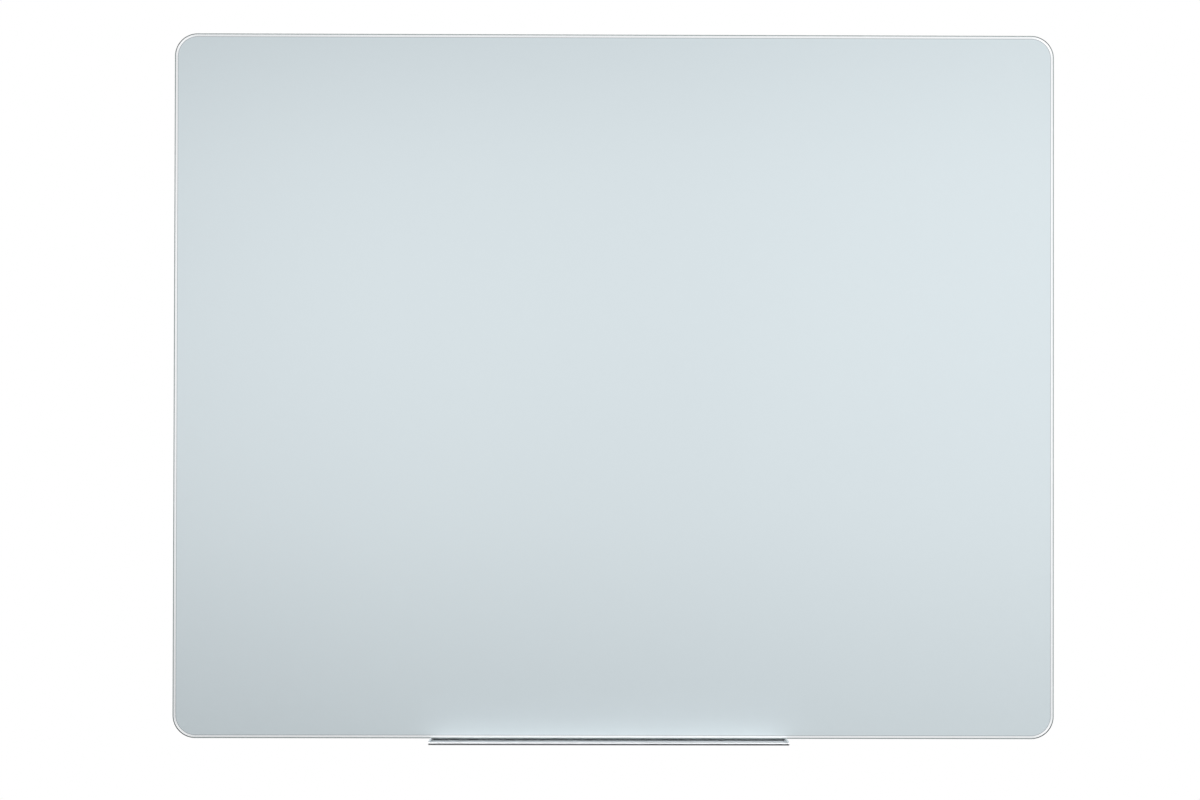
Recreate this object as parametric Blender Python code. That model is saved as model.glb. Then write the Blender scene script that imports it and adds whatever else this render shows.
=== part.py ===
# Wall-hung magnetic glass writing board with a sliding aluminium pen tray.
# Metres. X runs along the board, Z is up, the board faces -Y and the wall is the plane Y = 0.
# The origin is the middle of the wall rail's back face.

import math

import bmesh
import bpy
from mathutils import Matrix, Vector

# Glass, and the layers bonded behind it
GLASS_WIDTH = 1.500
GLASS_HEIGHT = 1.200
GLASS_THICK = 0.004
GLASS_CORNER = 0.039
GLASS_ARRIS = 0.0015
GLASS_STANDOFF = 0.020
FILM_THICK = 0.0005
FILM_MARGIN = 0.0050
SHEET_THICK = 0.0006
SHEET_MARGIN = 0.010
BOND_GAP = 0.0003

# Rear frame: one slotted box extrusion on all four sides
FRAME_MARGIN = 0.020
RAIL_HEIGHT = 0.020
RAIL_DEPTH = 0.014
RAIL_WALL = 0.0016
RAIL_EDGE_RADIUS = 0.0008
SLOT_MOUTH = 0.006
SLOT_WIDTH = 0.0108
SLOT_DEPTH = 0.0050
FIT = 0.0003

# Moulded corner connectors
CORNER_RADIUS = 0.008
TONGUE_LENGTH = 0.042
TONGUE_CHAMFER = 0.0015
TONGUE_SCREW_INSET = 0.012
POCKET_INSET = 0.0018
POCKET_DEPTH = 0.0045
POCKET_RIB = 0.0016
POCKET_START = 0.018

# Hat section behind the middle of the sheet
STIFFENER_THICK = 0.0012
STIFFENER_FLANGE = 0.014
STIFFENER_CROWN = 0.024
STIFFENER_HEIGHT = 0.010
STIFFENER_FLARE = 0.003

# Rubber bumpers plugged into the two lower connectors
BUMPER_RADIUS = 0.009
BUMPER_EDGE = 0.0010
BUMPER_STEM_RADIUS = 0.0025
BUMPER_STEM_LENGTH = 0.0045

# Wall rail
WALL_RAIL_LENGTH = 1.160
WALL_RAIL_HEIGHT = 0.030
WALL_RAIL_DEPTH = 0.0060
WALL_RAIL_THICK = 0.0018
WALL_RAIL_LIP = 0.0107
WALL_SLOT_WIDTH = 0.0066
WALL_SLOT_LENGTH = 0.0120
WALL_SCREW_END = 0.040
WALL_SCREW_SHARES = (-1, -1 / 3, 1 / 3, 1)

# Wall screws, washers and plugs
WALL_SCREW_RADIUS = 0.0022
WALL_SCREW_LENGTH = 0.050
WALL_SCREW_TIP = 0.004
WALL_HEAD_RADIUS = 0.0043
WALL_HEAD_HEIGHT = 0.0028
WALL_DRIVE_DEPTH = 0.0018
WASHER_RADIUS = 0.0075
WASHER_THICK = 0.0012
PLUG_RADIUS = 0.0040
PLUG_LENGTH = 0.040
PLUG_SINK = 0.003
PLUG_RING = 0.0050
PLUG_RING_DEPTH = 0.0006
PLUG_SPLIT = 0.0009

# Hangers: a block under the top rail, a hook that slides in it and a screw that sets the hook's height
HANGER_SPACING = 0.900
HANGER_EAR_THICK = 0.0030
HANGER_HALF_WIDTH = 0.0170
HANGER_EAR_HALF = 0.0320
HANGER_EAR_SCREW = 0.0250
HANGER_EAR_RADIUS = 0.0030
HANGER_LENGTH = 0.0457
HANGER_CHAMBER_HALF = 0.0123
HANGER_REAR_WALL = 0.0016
HANGER_FRONT_WALL = 0.0012
HANGER_MOUTH_HALF = 0.0100
HANGER_RAIL_GAP = 0.0006
HOOK_TRAVEL = 0.0070
HOOK_BAR_LENGTH = 0.0260
HOOK_THICK = 0.0025
HOOK_TONGUE_THICK = 0.0020
HOOK_TONGUE_DROP = 0.0010
HOOK_EDGE = 0.0006
LEVEL_SCREW_RADIUS = 0.0020
LEVEL_HEAD_RADIUS = 0.0035
LEVEL_HEAD_HEIGHT = 0.0040
LEVEL_SOCKET = 0.0030
LEVEL_SOCKET_DEPTH = 0.0022
LEVEL_RING_HEIGHT = 0.0020
DRIVER_RADIUS = 0.0025

# Small screws: connectors, hanger ears and tray clamps
SCREW_RADIUS = 0.0015
SCREW_LENGTH = 0.0090
SCREW_HEAD_RADIUS = 0.0034
SCREW_HEAD_HEIGHT = 0.0018
SCREW_DRIVE_DEPTH = 0.0011
CLAMP_RADIUS = 0.0020
CLAMP_HEAD_RADIUS = 0.0035
CLAMP_HEAD_HEIGHT = 0.0024
CLAMP_SOCKET = 0.0030
CLAMP_SOCKET_DEPTH = 0.0014
CROSS_REACH = 0.0017
CROSS_WING = 0.0008
SCREW_EDGE = 0.0005

# Pen tray
TRAY_LENGTH = 0.600
TRAY_REACH = 0.060
TRAY_OFFSET = -0.0085
TRAY_THICK = 0.0020
TRAY_GAP = 0.0030
TRAY_UPRIGHT_GAP = 0.0010
TRAY_FLANGE = 0.0120
TRAY_INNER_RADIUS = 0.0030
TRAY_OUTER_RADIUS = 0.0020
TRAY_FLANGE_RADIUS = 0.0006
BEAD_RADIUS = 0.0030
BEAD_COVE = 0.0015
BEAD_BORE = 0.0014
PORT_RADIUS = 0.0026
PORT_BORE = 0.0012
PORT_HEIGHT = 0.0045
PORT_SET_IN = 0.0006
NUT_END = 0.030
NUT_LENGTH = 0.030
NUT_CHAMFER = 0.0008

# Tray end caps
CAP_THICK = 0.0030
CAP_EDGE = 0.0006
CAP_STEP_AHEAD = 0.0025
CAP_STEP_CLEAR = 0.0010
CAP_BACK_RISE = 0.0035
CAP_PEG_LENGTH = 0.008

# Smoothness of round forms, and how far a cutter runs past what it cuts
GLASS_CORNER_STEPS = 14
FILLET_STEPS = 3
CORNER_STEPS = 5
RAIL_EDGE_STEPS = 2
ARRIS_STEPS = 2
SLOT_STEPS = 5
BUMPER_STEPS = 20
ROUND_STEPS = 16
SMALL_STEPS = 12
BEAD_STEPS = 14
OVERRUN = 0.002
MERGE = 0.0000005
SMOOTH_ANGLE = math.radians(32)

# Depths, all measured out from the wall towards -Y
GLASS_REAR = -GLASS_STANDOFF
GLASS_FRONT = GLASS_REAR - GLASS_THICK
FILM_REAR = GLASS_REAR + BOND_GAP + FILM_THICK
SHEET_REAR = FILM_REAR + BOND_GAP + SHEET_THICK
FRAME_FRONT = SHEET_REAR + BOND_GAP
FRAME_REAR = FRAME_FRONT + RAIL_DEPTH
FRAME_MIDDLE = FRAME_FRONT + RAIL_DEPTH / 2

# Heights of the hanging mechanism, from the wall rail up to the glass
WEB_TOP = WALL_RAIL_HEIGHT / 2
LIP_TOP = WEB_TOP + WALL_RAIL_LIP
ARM_BOTTOM = LIP_TOP + FIT
ARM_TOP = ARM_BOTTOM + HOOK_THICK
BAR_BOTTOM = ARM_TOP - HOOK_BAR_LENGTH
HEAD_BOTTOM = ARM_TOP + HOOK_TRAVEL + FIT
HEAD_TOP = HEAD_BOTTOM + LEVEL_HEAD_HEIGHT
EAR_BOTTOM = HEAD_TOP + FIT
EAR_TOP = EAR_BOTTOM + HANGER_EAR_THICK
FRAME_INNER_TOP = EAR_TOP + FIT
FRAME_TOP = FRAME_INNER_TOP + RAIL_HEIGHT
GLASS_TOP = FRAME_TOP + FRAME_MARGIN
GLASS_BOTTOM = GLASS_TOP - GLASS_HEIGHT
GLASS_CENTRE = (GLASS_TOP + GLASS_BOTTOM) / 2
FRAME_BOTTOM = GLASS_BOTTOM + FRAME_MARGIN
FRAME_HALF = GLASS_WIDTH / 2 - FRAME_MARGIN

# Depths inside a hanger
LIP_FRONT = -WALL_RAIL_DEPTH
LIP_REAR = LIP_FRONT + WALL_RAIL_THICK
TONGUE_FRONT = LIP_REAR + FIT
TONGUE_REAR = TONGUE_FRONT + HOOK_TONGUE_THICK
HANGER_REAR = LIP_FRONT - HANGER_RAIL_GAP
CHAMBER_REAR = HANGER_REAR - HANGER_REAR_WALL
CHAMBER_FRONT = FRAME_FRONT + HANGER_FRONT_WALL
BAR_REAR = CHAMBER_REAR - FIT
BAR_FRONT = CHAMBER_FRONT + FIT
LEVEL_AXIS = (CHAMBER_REAR + CHAMBER_FRONT) / 2

# Tray
TRAY_FLOOR_TOP = GLASS_BOTTOM - TRAY_GAP
TRAY_BOTTOM = TRAY_FLOOR_TOP - TRAY_THICK
TRAY_TOP = FRAME_BOTTOM - FIT
UPRIGHT_FRONT = FRAME_FRONT + TRAY_UPRIGHT_GAP
UPRIGHT_REAR = UPRIGHT_FRONT + TRAY_THICK
FLANGE_REAR = UPRIGHT_FRONT + TRAY_FLANGE
TRAY_FRONT = GLASS_FRONT - TRAY_REACH
BEAD_CENTRE = (TRAY_FRONT + BEAD_RADIUS, TRAY_BOTTOM + BEAD_RADIUS)
PORT_CENTRE = (UPRIGHT_REAR + PORT_SET_IN, TRAY_FLOOR_TOP + PORT_HEIGHT)
# Where the flat floor ends and the cove up to the bead begins
TROUGH_FRONT = BEAD_CENTRE[0] + math.sqrt(
    (BEAD_RADIUS + BEAD_COVE) ** 2 - (TRAY_FLOOR_TOP + BEAD_COVE - BEAD_CENTRE[1]) ** 2)

X = Vector((1, 0, 0))
Y = Vector((0, 1, 0))
Z = Vector((0, 0, 1))


def clear_scene():
    for old in list(bpy.data.objects):
        bpy.data.objects.remove(old, do_unlink=True)


def make_material(name, colour, roughness, metallic=0.0):
    material = bpy.data.materials.new(name)
    material.use_nodes = True
    shader = material.node_tree.nodes["Principled BSDF"]
    shader.inputs["Base Color"].default_value = (*colour, 1)
    shader.inputs["Roughness"].default_value = roughness
    shader.inputs["Metallic"].default_value = metallic
    material.diffuse_color = (*colour, 1)
    return material


def arc(centre, radius, start, end, steps):
    """Points on a round stretch, from one angle to another in degrees."""
    angles = [math.radians(start + (end - start) * i / steps) for i in range(steps + 1)]
    return [(centre[0] + radius * math.cos(a), centre[1] + radius * math.sin(a)) for a in angles]


def circle(centre, radius, steps=SMALL_STEPS):
    return arc(centre, radius, 0, 360, steps)[:-1]


def rectangle(left, right, bottom, top):
    return [(left, bottom), (right, bottom), (right, top), (left, top)]


def fillet(points, steps=FILLET_STEPS):
    """An outline whose corners, given as (u, v, radius), are rounded."""
    outline = []
    for i, (u, v, radius) in enumerate(points):
        corner = Vector((u, v))
        if radius == 0:
            outline.append(tuple(corner))
            continue
        before = (Vector(points[i - 1][:2]) - corner).normalized()
        after = (Vector(points[(i + 1) % len(points)][:2]) - corner).normalized()
        half = before.angle(after) / 2
        centre = corner + (before + after).normalized() * radius / math.sin(half)
        first = corner + before * radius / math.tan(half) - centre
        last = corner + after * radius / math.tan(half) - centre
        sweep = (math.atan2(last.y, last.x) - math.atan2(first.y, first.x) + math.pi) % math.tau - math.pi
        start = math.atan2(first.y, first.x)
        for k in range(steps + 1):
            angle = start + sweep * k / steps
            outline.append((centre.x + radius * math.cos(angle), centre.y + radius * math.sin(angle)))
    return outline


def rounded_rectangle(left, right, bottom, top, radius, steps=FILLET_STEPS):
    return fillet([(u, v, radius) for u, v in rectangle(left, right, bottom, top)], steps)


def prism(loops, place, run):
    """A closed solid: the outline loops[0], less the holes loops[1:], placed in space and swept by run."""
    bm = bmesh.new()
    edges = []
    for loop in loops:
        verts = [bm.verts.new(place(u, v)) for u, v in loop]
        edges += [bm.edges.new((verts[i - 1], verts[i])) for i in range(len(verts))]
    bmesh.ops.triangle_fill(bm, use_beauty=True, edges=edges)
    swept = bmesh.ops.extrude_face_region(bm, geom=bm.faces[:])
    verts = [item for item in swept["geom"] if isinstance(item, bmesh.types.BMVert)]
    bmesh.ops.translate(bm, vec=run, verts=verts)
    bmesh.ops.recalc_face_normals(bm, faces=bm.faces[:])
    return bm


def along_x(loops, start, end):
    """Sweeps outlines given as (y, z) from one x to another."""
    return prism(loops, lambda u, v: (start, u, v), X * (end - start))


def along_y(loops, start, end):
    """Sweeps outlines given as (x, z) from one y to another."""
    return prism(loops, lambda u, v: (u, start, v), Y * (end - start))


def along_z(loops, start, end):
    """Sweeps outlines given as (x, y) from one z to another."""
    return prism(loops, lambda u, v: (u, v, start), Z * (end - start))


def box(low, high):
    return along_z([rectangle(low[0], high[0], low[1], high[1])], low[2], high[2])


def turned(profile, base, direction, steps=ROUND_STEPS):
    """A solid of revolution: profile holds (radius, distance along direction) from axis to axis."""
    bm = bmesh.new()
    verts = [bm.verts.new((radius, 0, height)) for radius, height in profile]
    edges = [bm.edges.new(pair) for pair in zip(verts, verts[1:])]
    bmesh.ops.spin(bm, geom=verts + edges, cent=(0, 0, 0), axis=Z, dvec=(0, 0, 0),
                   angle=math.tau, steps=steps, use_merge=True, use_duplicate=False)
    bmesh.ops.remove_doubles(bm, verts=bm.verts[:], dist=MERGE)
    bmesh.ops.recalc_face_normals(bm, faces=bm.faces[:])
    turn = Z.rotation_difference(direction).to_matrix().to_4x4()
    bmesh.ops.transform(bm, matrix=Matrix.Translation(base) @ turn, verts=bm.verts[:])
    return bm


def rod(centre, direction, radius, start, end, steps=SMALL_STEPS):
    """A plain round bar, for pins and for cutting holes."""
    profile = [(0, start), (radius, start), (radius, end), (0, end)]
    return turned(profile, Vector(centre), direction, steps)


def mesh_of(shapes, name):
    joined = bmesh.new()
    for shape in shapes:
        single = bpy.data.meshes.new(name)
        shape.to_mesh(single)
        shape.free()
        joined.from_mesh(single)
        bpy.data.meshes.remove(single)
    mesh = bpy.data.meshes.new(name)
    joined.to_mesh(mesh)
    joined.free()
    return mesh


def piece(name, shape, material, body=None, add=(), cut=()):
    """One sub-part: its first shape, with others joined to it and others cut from it."""
    mesh = mesh_of([shape], name)
    mesh.materials.append(material)
    mesh.shade_smooth()
    mesh.set_sharp_from_angle(angle=SMOOTH_ANGLE)
    part = bpy.data.objects.new(name, mesh)
    bpy.context.scene.collection.objects.link(part)
    for operation, shapes in (("UNION", add), ("DIFFERENCE", cut)):
        if not shapes:
            continue
        guide = bpy.data.objects.new(f"{name}_{operation.lower()}", mesh_of(shapes, name))
        guide.hide_render = True
        guide.display_type = "WIRE"
        bpy.context.scene.collection.objects.link(guide)
        boolean = part.modifiers.new(operation.title(), "BOOLEAN")
        boolean.operation = operation
        boolean.object = guide
        if body:
            guide.parent = body
            guide.matrix_parent_inverse = Matrix.Translation(-body.location)
    if body:
        part.parent = body
        part.matrix_parent_inverse = Matrix.Translation(-body.location)
    return part


def body_at(name, place, parent=None):
    """An empty on a moving body's joint axis, which carries the body's pieces."""
    empty = bpy.data.objects.new(name, None)
    empty.location = place
    if parent:
        empty.parent = parent
        empty.matrix_parent_inverse = Matrix.Translation(-parent.location)
    bpy.context.scene.collection.objects.link(empty)
    return empty


def screw_profile(radius, length, head_radius, head_height, tip=SCREW_EDGE):
    """Pan head above zero, shank below it."""
    return [
        (0, -length),
        (radius - SCREW_EDGE, -length),
        (radius, -length + tip),
        (radius, 0),
        (head_radius, 0),
        (head_radius, head_height / 2),
        (head_radius - head_height / 3, head_height),
        (0, head_height),
    ]


def cross_outline():
    """The cross that a screwdriver turns, as (u, v) round the screw's axis."""
    wing = CROSS_WING / 2
    arm = [(CROSS_REACH, -wing), (CROSS_REACH, wing), (wing, wing)]
    outline = []
    for quarter in range(4):
        outline += arm
        arm = [(-v, u) for u, v in arm]
    return outline


def hexagon(across_flats):
    return circle((0, 0), across_flats / 2 / math.cos(math.pi / 6), 6)


def drive(outline, top, outwards, depth):
    """What cuts a driver's recess: the outline sunk into a screw head from the middle of its top."""
    turn = Z.rotation_difference(outwards)
    floor = top - outwards * depth
    return prism([outline], lambda u, v: floor + turn @ Vector((u, v, 0)), outwards * (depth + OVERRUN))


def rail_outline():
    """The frame extrusion: u across its depth, v inwards from its slotted outer face."""
    half = RAIL_DEPTH / 2
    mouth = SLOT_MOUTH / 2
    inner = SLOT_WIDTH / 2
    return fillet([
        (-half, 0, RAIL_EDGE_RADIUS),
        (-mouth, 0, 0),
        (-mouth, RAIL_WALL, 0),
        (-inner, RAIL_WALL, 0),
        (-inner, SLOT_DEPTH, 0),
        (inner, SLOT_DEPTH, 0),
        (inner, RAIL_WALL, 0),
        (mouth, RAIL_WALL, 0),
        (mouth, 0, 0),
        (half, 0, RAIL_EDGE_RADIUS),
        (half, RAIL_HEIGHT, RAIL_EDGE_RADIUS),
        (-half, RAIL_HEIGHT, RAIL_EDGE_RADIUS),
    ], RAIL_EDGE_STEPS)


def chamber_outline(shrink=0):
    """The box chamber inside the frame extrusion, or what slides into it with a clearance."""
    half = RAIL_DEPTH / 2 - RAIL_WALL - shrink
    return rectangle(-half, half, SLOT_DEPTH + RAIL_WALL + shrink, RAIL_HEIGHT - RAIL_WALL - shrink)


def frame_rail(name, start, along, inwards, length, material, cut):
    """A side of the frame, from start for length, with its slot on the outside."""
    place = lambda u, v: start + Y * u + inwards * v
    piece(name, prism([rail_outline(), chamber_outline()], place, along * length), material, board, cut=cut)


def connector_screw_places():
    """Where a screw holds each tongue: (x, z, name), through the rail's rear wall."""
    middle = (SLOT_DEPTH + RAIL_HEIGHT) / 2
    inset = RAIL_HEIGHT + TONGUE_SCREW_INSET
    places = []
    for side, x_sign in (("left", -1), ("right", 1)):
        for level, outer_z, z_sign in (("top", FRAME_TOP, 1), ("bottom", FRAME_BOTTOM, -1)):
            for way, across, upright in (("across", inset, middle), ("upright", middle, inset)):
                x = x_sign * (FRAME_HALF - across)
                z = outer_z - z_sign * upright
                places.append((x, z, f"{level}_{side}_{way}"))
    return places


def drill_y(x, z, radius, start, end):
    return rod((x, 0, z), Y, radius, start, end)


def make_glass():
    half = GLASS_WIDTH / 2
    outline = rounded_rectangle(-half, half, GLASS_BOTTOM, GLASS_TOP, GLASS_CORNER, GLASS_CORNER_STEPS)
    shape = along_y([outline], GLASS_REAR, GLASS_FRONT)
    rims = [e for e in shape.edges if e.calc_face_angle(0) > math.radians(80)
            and abs(e.verts[0].co.y - e.verts[1].co.y) < MERGE]
    bmesh.ops.bevel(shape, geom=rims, offset=GLASS_ARRIS, offset_type="OFFSET", segments=ARRIS_STEPS,
                    profile=0.5, affect="EDGES", clamp_overlap=True, material=-1)
    piece("glass_panel", shape, GLASS, board)
    for name, margin, rear, thick, finish in (
            ("white_backing_film", FILM_MARGIN, FILM_REAR, FILM_THICK, FILM),
            ("steel_backing_sheet", SHEET_MARGIN, SHEET_REAR, SHEET_THICK, ZINC)):
        outline = rounded_rectangle(-half + margin, half - margin, GLASS_BOTTOM + margin, GLASS_TOP - margin,
                                    GLASS_CORNER - margin, GLASS_CORNER_STEPS)
        piece(name, along_y([outline], rear - thick, rear), finish, board)


def make_frame():
    reach = FRAME_HALF - RAIL_HEIGHT
    rise = FRAME_TOP - FRAME_BOTTOM - 2 * RAIL_HEIGHT
    holes = {"top": [], "bottom": [], "left": [], "right": []}
    for x, z, name in connector_screw_places():
        level, side, way = name.split("_")
        rail = level if way == "across" else side
        deep = FRAME_REAR - RAIL_WALL - FIT
        holes[rail].append(drill_y(x, z, SCREW_RADIUS + FIT, deep, FRAME_REAR + OVERRUN))
    for x_sign in (-1, 1):
        middle = x_sign * HANGER_SPACING / 2
        for ear in (-HANGER_EAR_SCREW, HANGER_EAR_SCREW):
            centre = (middle + ear, FRAME_MIDDLE, FRAME_INNER_TOP)
            holes["top"].append(rod(centre, Z, SCREW_RADIUS + FIT, -OVERRUN, RAIL_WALL + FIT))
        centre = (middle, LEVEL_AXIS, FRAME_INNER_TOP)
        holes["top"].append(rod(centre, Z, DRIVER_RADIUS, -OVERRUN, RAIL_HEIGHT + OVERRUN))
    low_left = Vector((-reach + FIT, FRAME_MIDDLE, 0))
    width = 2 * (reach - FIT)
    frame_rail("frame_top_rail", low_left + Z * FRAME_TOP, X, -Z, width, MILL, holes["top"])
    frame_rail("frame_bottom_rail", low_left + Z * FRAME_BOTTOM, X, Z, width, MILL, holes["bottom"])
    foot = Vector((0, FRAME_MIDDLE, FRAME_BOTTOM + RAIL_HEIGHT + FIT))
    height = rise - 2 * FIT
    frame_rail("frame_left_stile", foot - X * FRAME_HALF, Z, X, height, MILL, holes["left"])
    frame_rail("frame_right_stile", foot + X * FRAME_HALF, Z, -X, height, MILL, holes["right"])


def make_connectors():
    near, far = SLOT_DEPTH + RAIL_WALL + FIT, RAIL_HEIGHT - RAIL_WALL - FIT
    half_depth = RAIL_DEPTH / 2 - RAIL_WALL - FIT
    end = RAIL_HEIGHT + TONGUE_LENGTH
    elbow = fillet([
        (near, near, 0), (end, near, TONGUE_CHAMFER), (end, far, TONGUE_CHAMFER),
        (far, far, 0), (far, end, TONGUE_CHAMFER), (near, end, TONGUE_CHAMFER),
    ], 1)
    block = rectangle(0, RAIL_HEIGHT, 0, RAIL_HEIGHT)
    block = fillet([(*block[0], CORNER_RADIUS)] + [(u, v, 0) for u, v in block[1:]], CORNER_STEPS)
    pocket_end = end - POCKET_INSET
    middle = (POCKET_START + RAIL_HEIGHT + pocket_end) / 2
    pocket_start = RAIL_HEIGHT + POCKET_START
    pocket_runs = ((pocket_start, middle - POCKET_RIB / 2), (middle + POCKET_RIB / 2, pocket_end))
    for side, x_sign in (("left", -1), ("right", 1)):
        for level, corner_z, z_sign in (("top", FRAME_TOP, 1), ("bottom", FRAME_BOTTOM, -1)):
            corner_x = x_sign * FRAME_HALF

            def place(points):
                return [(corner_x - x_sign * u, corner_z - z_sign * v) for u, v in points]

            tongues = along_y([place(elbow)], FRAME_MIDDLE - half_depth, FRAME_MIDDLE + half_depth)
            cuts = []
            front = FRAME_MIDDLE - half_depth
            for low, high in pocket_runs:
                flat = rectangle(low, high, near + POCKET_INSET, far - POCKET_INSET)
                for outline in (flat, [(v, u) for u, v in flat]):
                    cuts.append(along_y([place(outline)], front - OVERRUN, front + POCKET_DEPTH))
            for x, z, name in connector_screw_places():
                if name.startswith(f"{level}_{side}_"):
                    cuts.append(drill_y(x, z, SCREW_RADIUS + FIT, front - OVERRUN, FRAME_REAR + OVERRUN))
            bumper = (corner_x - x_sign * RAIL_HEIGHT / 2, corner_z - z_sign * RAIL_HEIGHT / 2)
            deep = FRAME_REAR - BUMPER_STEM_LENGTH - FIT
            cuts.append(drill_y(*bumper, BUMPER_STEM_RADIUS + FIT, deep, FRAME_REAR + OVERRUN))
            piece(f"{level}_{side}_corner", along_y([place(block)], FRAME_FRONT, FRAME_REAR),
                  MOULDED, board, add=[tongues], cut=cuts)
            if level == "bottom":
                profile = [
                    (0, FRAME_REAR - BUMPER_STEM_LENGTH),
                    (BUMPER_STEM_RADIUS, FRAME_REAR - BUMPER_STEM_LENGTH),
                    (BUMPER_STEM_RADIUS, FRAME_REAR + FIT),
                    (BUMPER_RADIUS, FRAME_REAR + FIT),
                    (BUMPER_RADIUS, -BUMPER_EDGE),
                    (BUMPER_RADIUS - BUMPER_EDGE, 0),
                    (0, 0),
                ]
                shape = turned(profile, Vector((bumper[0], 0, bumper[1])), Y, BUMPER_STEPS)
                piece(f"{side}_wall_bumper", shape, RUBBER, board)


def make_connector_screws():
    profile = screw_profile(SCREW_RADIUS, SCREW_LENGTH, SCREW_HEAD_RADIUS, SCREW_HEAD_HEIGHT)
    for x, z, name in connector_screw_places():
        seat = Vector((x, FRAME_REAR + FIT, z))
        recess = drive(cross_outline(), seat + Y * SCREW_HEAD_HEIGHT, Y, SCREW_DRIVE_DEPTH)
        piece(f"{name}_screw", turned(profile, seat, Y, SMALL_STEPS), STEEL, board, cut=[recess])


def make_stiffener():
    crown = STIFFENER_CROWN / 2
    foot = crown + STIFFENER_FLARE
    edge = foot + STIFFENER_FLANGE
    base = FRAME_FRONT
    top = base + STIFFENER_HEIGHT
    t = STIFFENER_THICK
    outline = [
        (-edge, base), (-foot + t, base), (-crown + t, top - t), (crown - t, top - t), (foot - t, base),
        (edge, base), (edge, base + t), (foot, base + t), (crown, top), (-crown, top), (-foot, base + t),
        (-edge, base + t),
    ]
    low = FRAME_BOTTOM + RAIL_HEIGHT + FIT
    piece("centre_stiffener", along_z([outline], low, FRAME_INNER_TOP - FIT), ZINC, board)


def make_wall_side():
    half = WALL_RAIL_HEIGHT / 2
    thick = WALL_RAIL_THICK
    front = -WALL_RAIL_DEPTH
    section = [
        (0, -half), (0, half), (front + thick, half), (front + thick, LIP_TOP), (front, LIP_TOP),
        (front, half - thick), (-thick, half - thick), (-thick, -half + thick), (front, -half + thick),
        (front, -half),
    ]
    length = WALL_RAIL_LENGTH / 2
    places = [share * (length - WALL_SCREW_END) for share in WALL_SCREW_SHARES]
    slots = []
    for x in places:
        outline = rounded_rectangle(x - WALL_SLOT_LENGTH / 2, x + WALL_SLOT_LENGTH / 2,
                                    -WALL_SLOT_WIDTH / 2, WALL_SLOT_WIDTH / 2,
                                    WALL_SLOT_WIDTH / 2 - FIT, SLOT_STEPS)
        slots.append(along_y([outline], -thick - OVERRUN, OVERRUN))
    piece("wall_rail", along_x([section], -length, length), MILL, cut=slots)
    washer_rear = -thick - FIT
    head_rear = washer_rear - WASHER_THICK - FIT
    plug_end = PLUG_SINK + PLUG_LENGTH
    for number, x in enumerate(places, 1):
        ring = [circle((x, 0), WASHER_RADIUS, ROUND_STEPS), circle((x, 0), WALL_SCREW_RADIUS + FIT)]
        piece(f"wall_washer_{number}", along_y(ring, washer_rear - WASHER_THICK, washer_rear), STEEL)
        profile = screw_profile(WALL_SCREW_RADIUS, WALL_SCREW_LENGTH, WALL_HEAD_RADIUS, WALL_HEAD_HEIGHT,
                                WALL_SCREW_TIP)
        seat = Vector((x, head_rear, 0))
        recess = drive(cross_outline(), seat - Y * WALL_HEAD_HEIGHT, -Y, WALL_DRIVE_DEPTH)
        piece(f"wall_screw_{number}", turned(profile, seat, -Y, SMALL_STEPS), STEEL, cut=[recess])
        bore = WALL_SCREW_RADIUS + FIT
        neck = PLUG_RADIUS - PLUG_RING_DEPTH
        profile = [(bore, PLUG_SINK), (PLUG_RADIUS, PLUG_SINK)]
        rings = int((PLUG_LENGTH / 2) / PLUG_RING)
        for k in range(rings):
            start = PLUG_SINK + PLUG_LENGTH / 4 + k * PLUG_RING
            profile += [(PLUG_RADIUS, start), (neck, start + PLUG_RING_DEPTH)]
        profile += [(PLUG_RADIUS, plug_end - PLUG_RING), (neck, plug_end)]
        profile += [(bore, plug_end), (bore, PLUG_SINK)]
        split = box((x - PLUG_SPLIT / 2, PLUG_SINK + PLUG_LENGTH / 4, -PLUG_RADIUS - OVERRUN),
                    (x + PLUG_SPLIT / 2, plug_end + OVERRUN, PLUG_RADIUS + OVERRUN))
        piece(f"wall_plug_{number}", turned(profile, Vector((x, 0, 0)), Y, SMALL_STEPS), NYLON, cut=[split])


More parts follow.
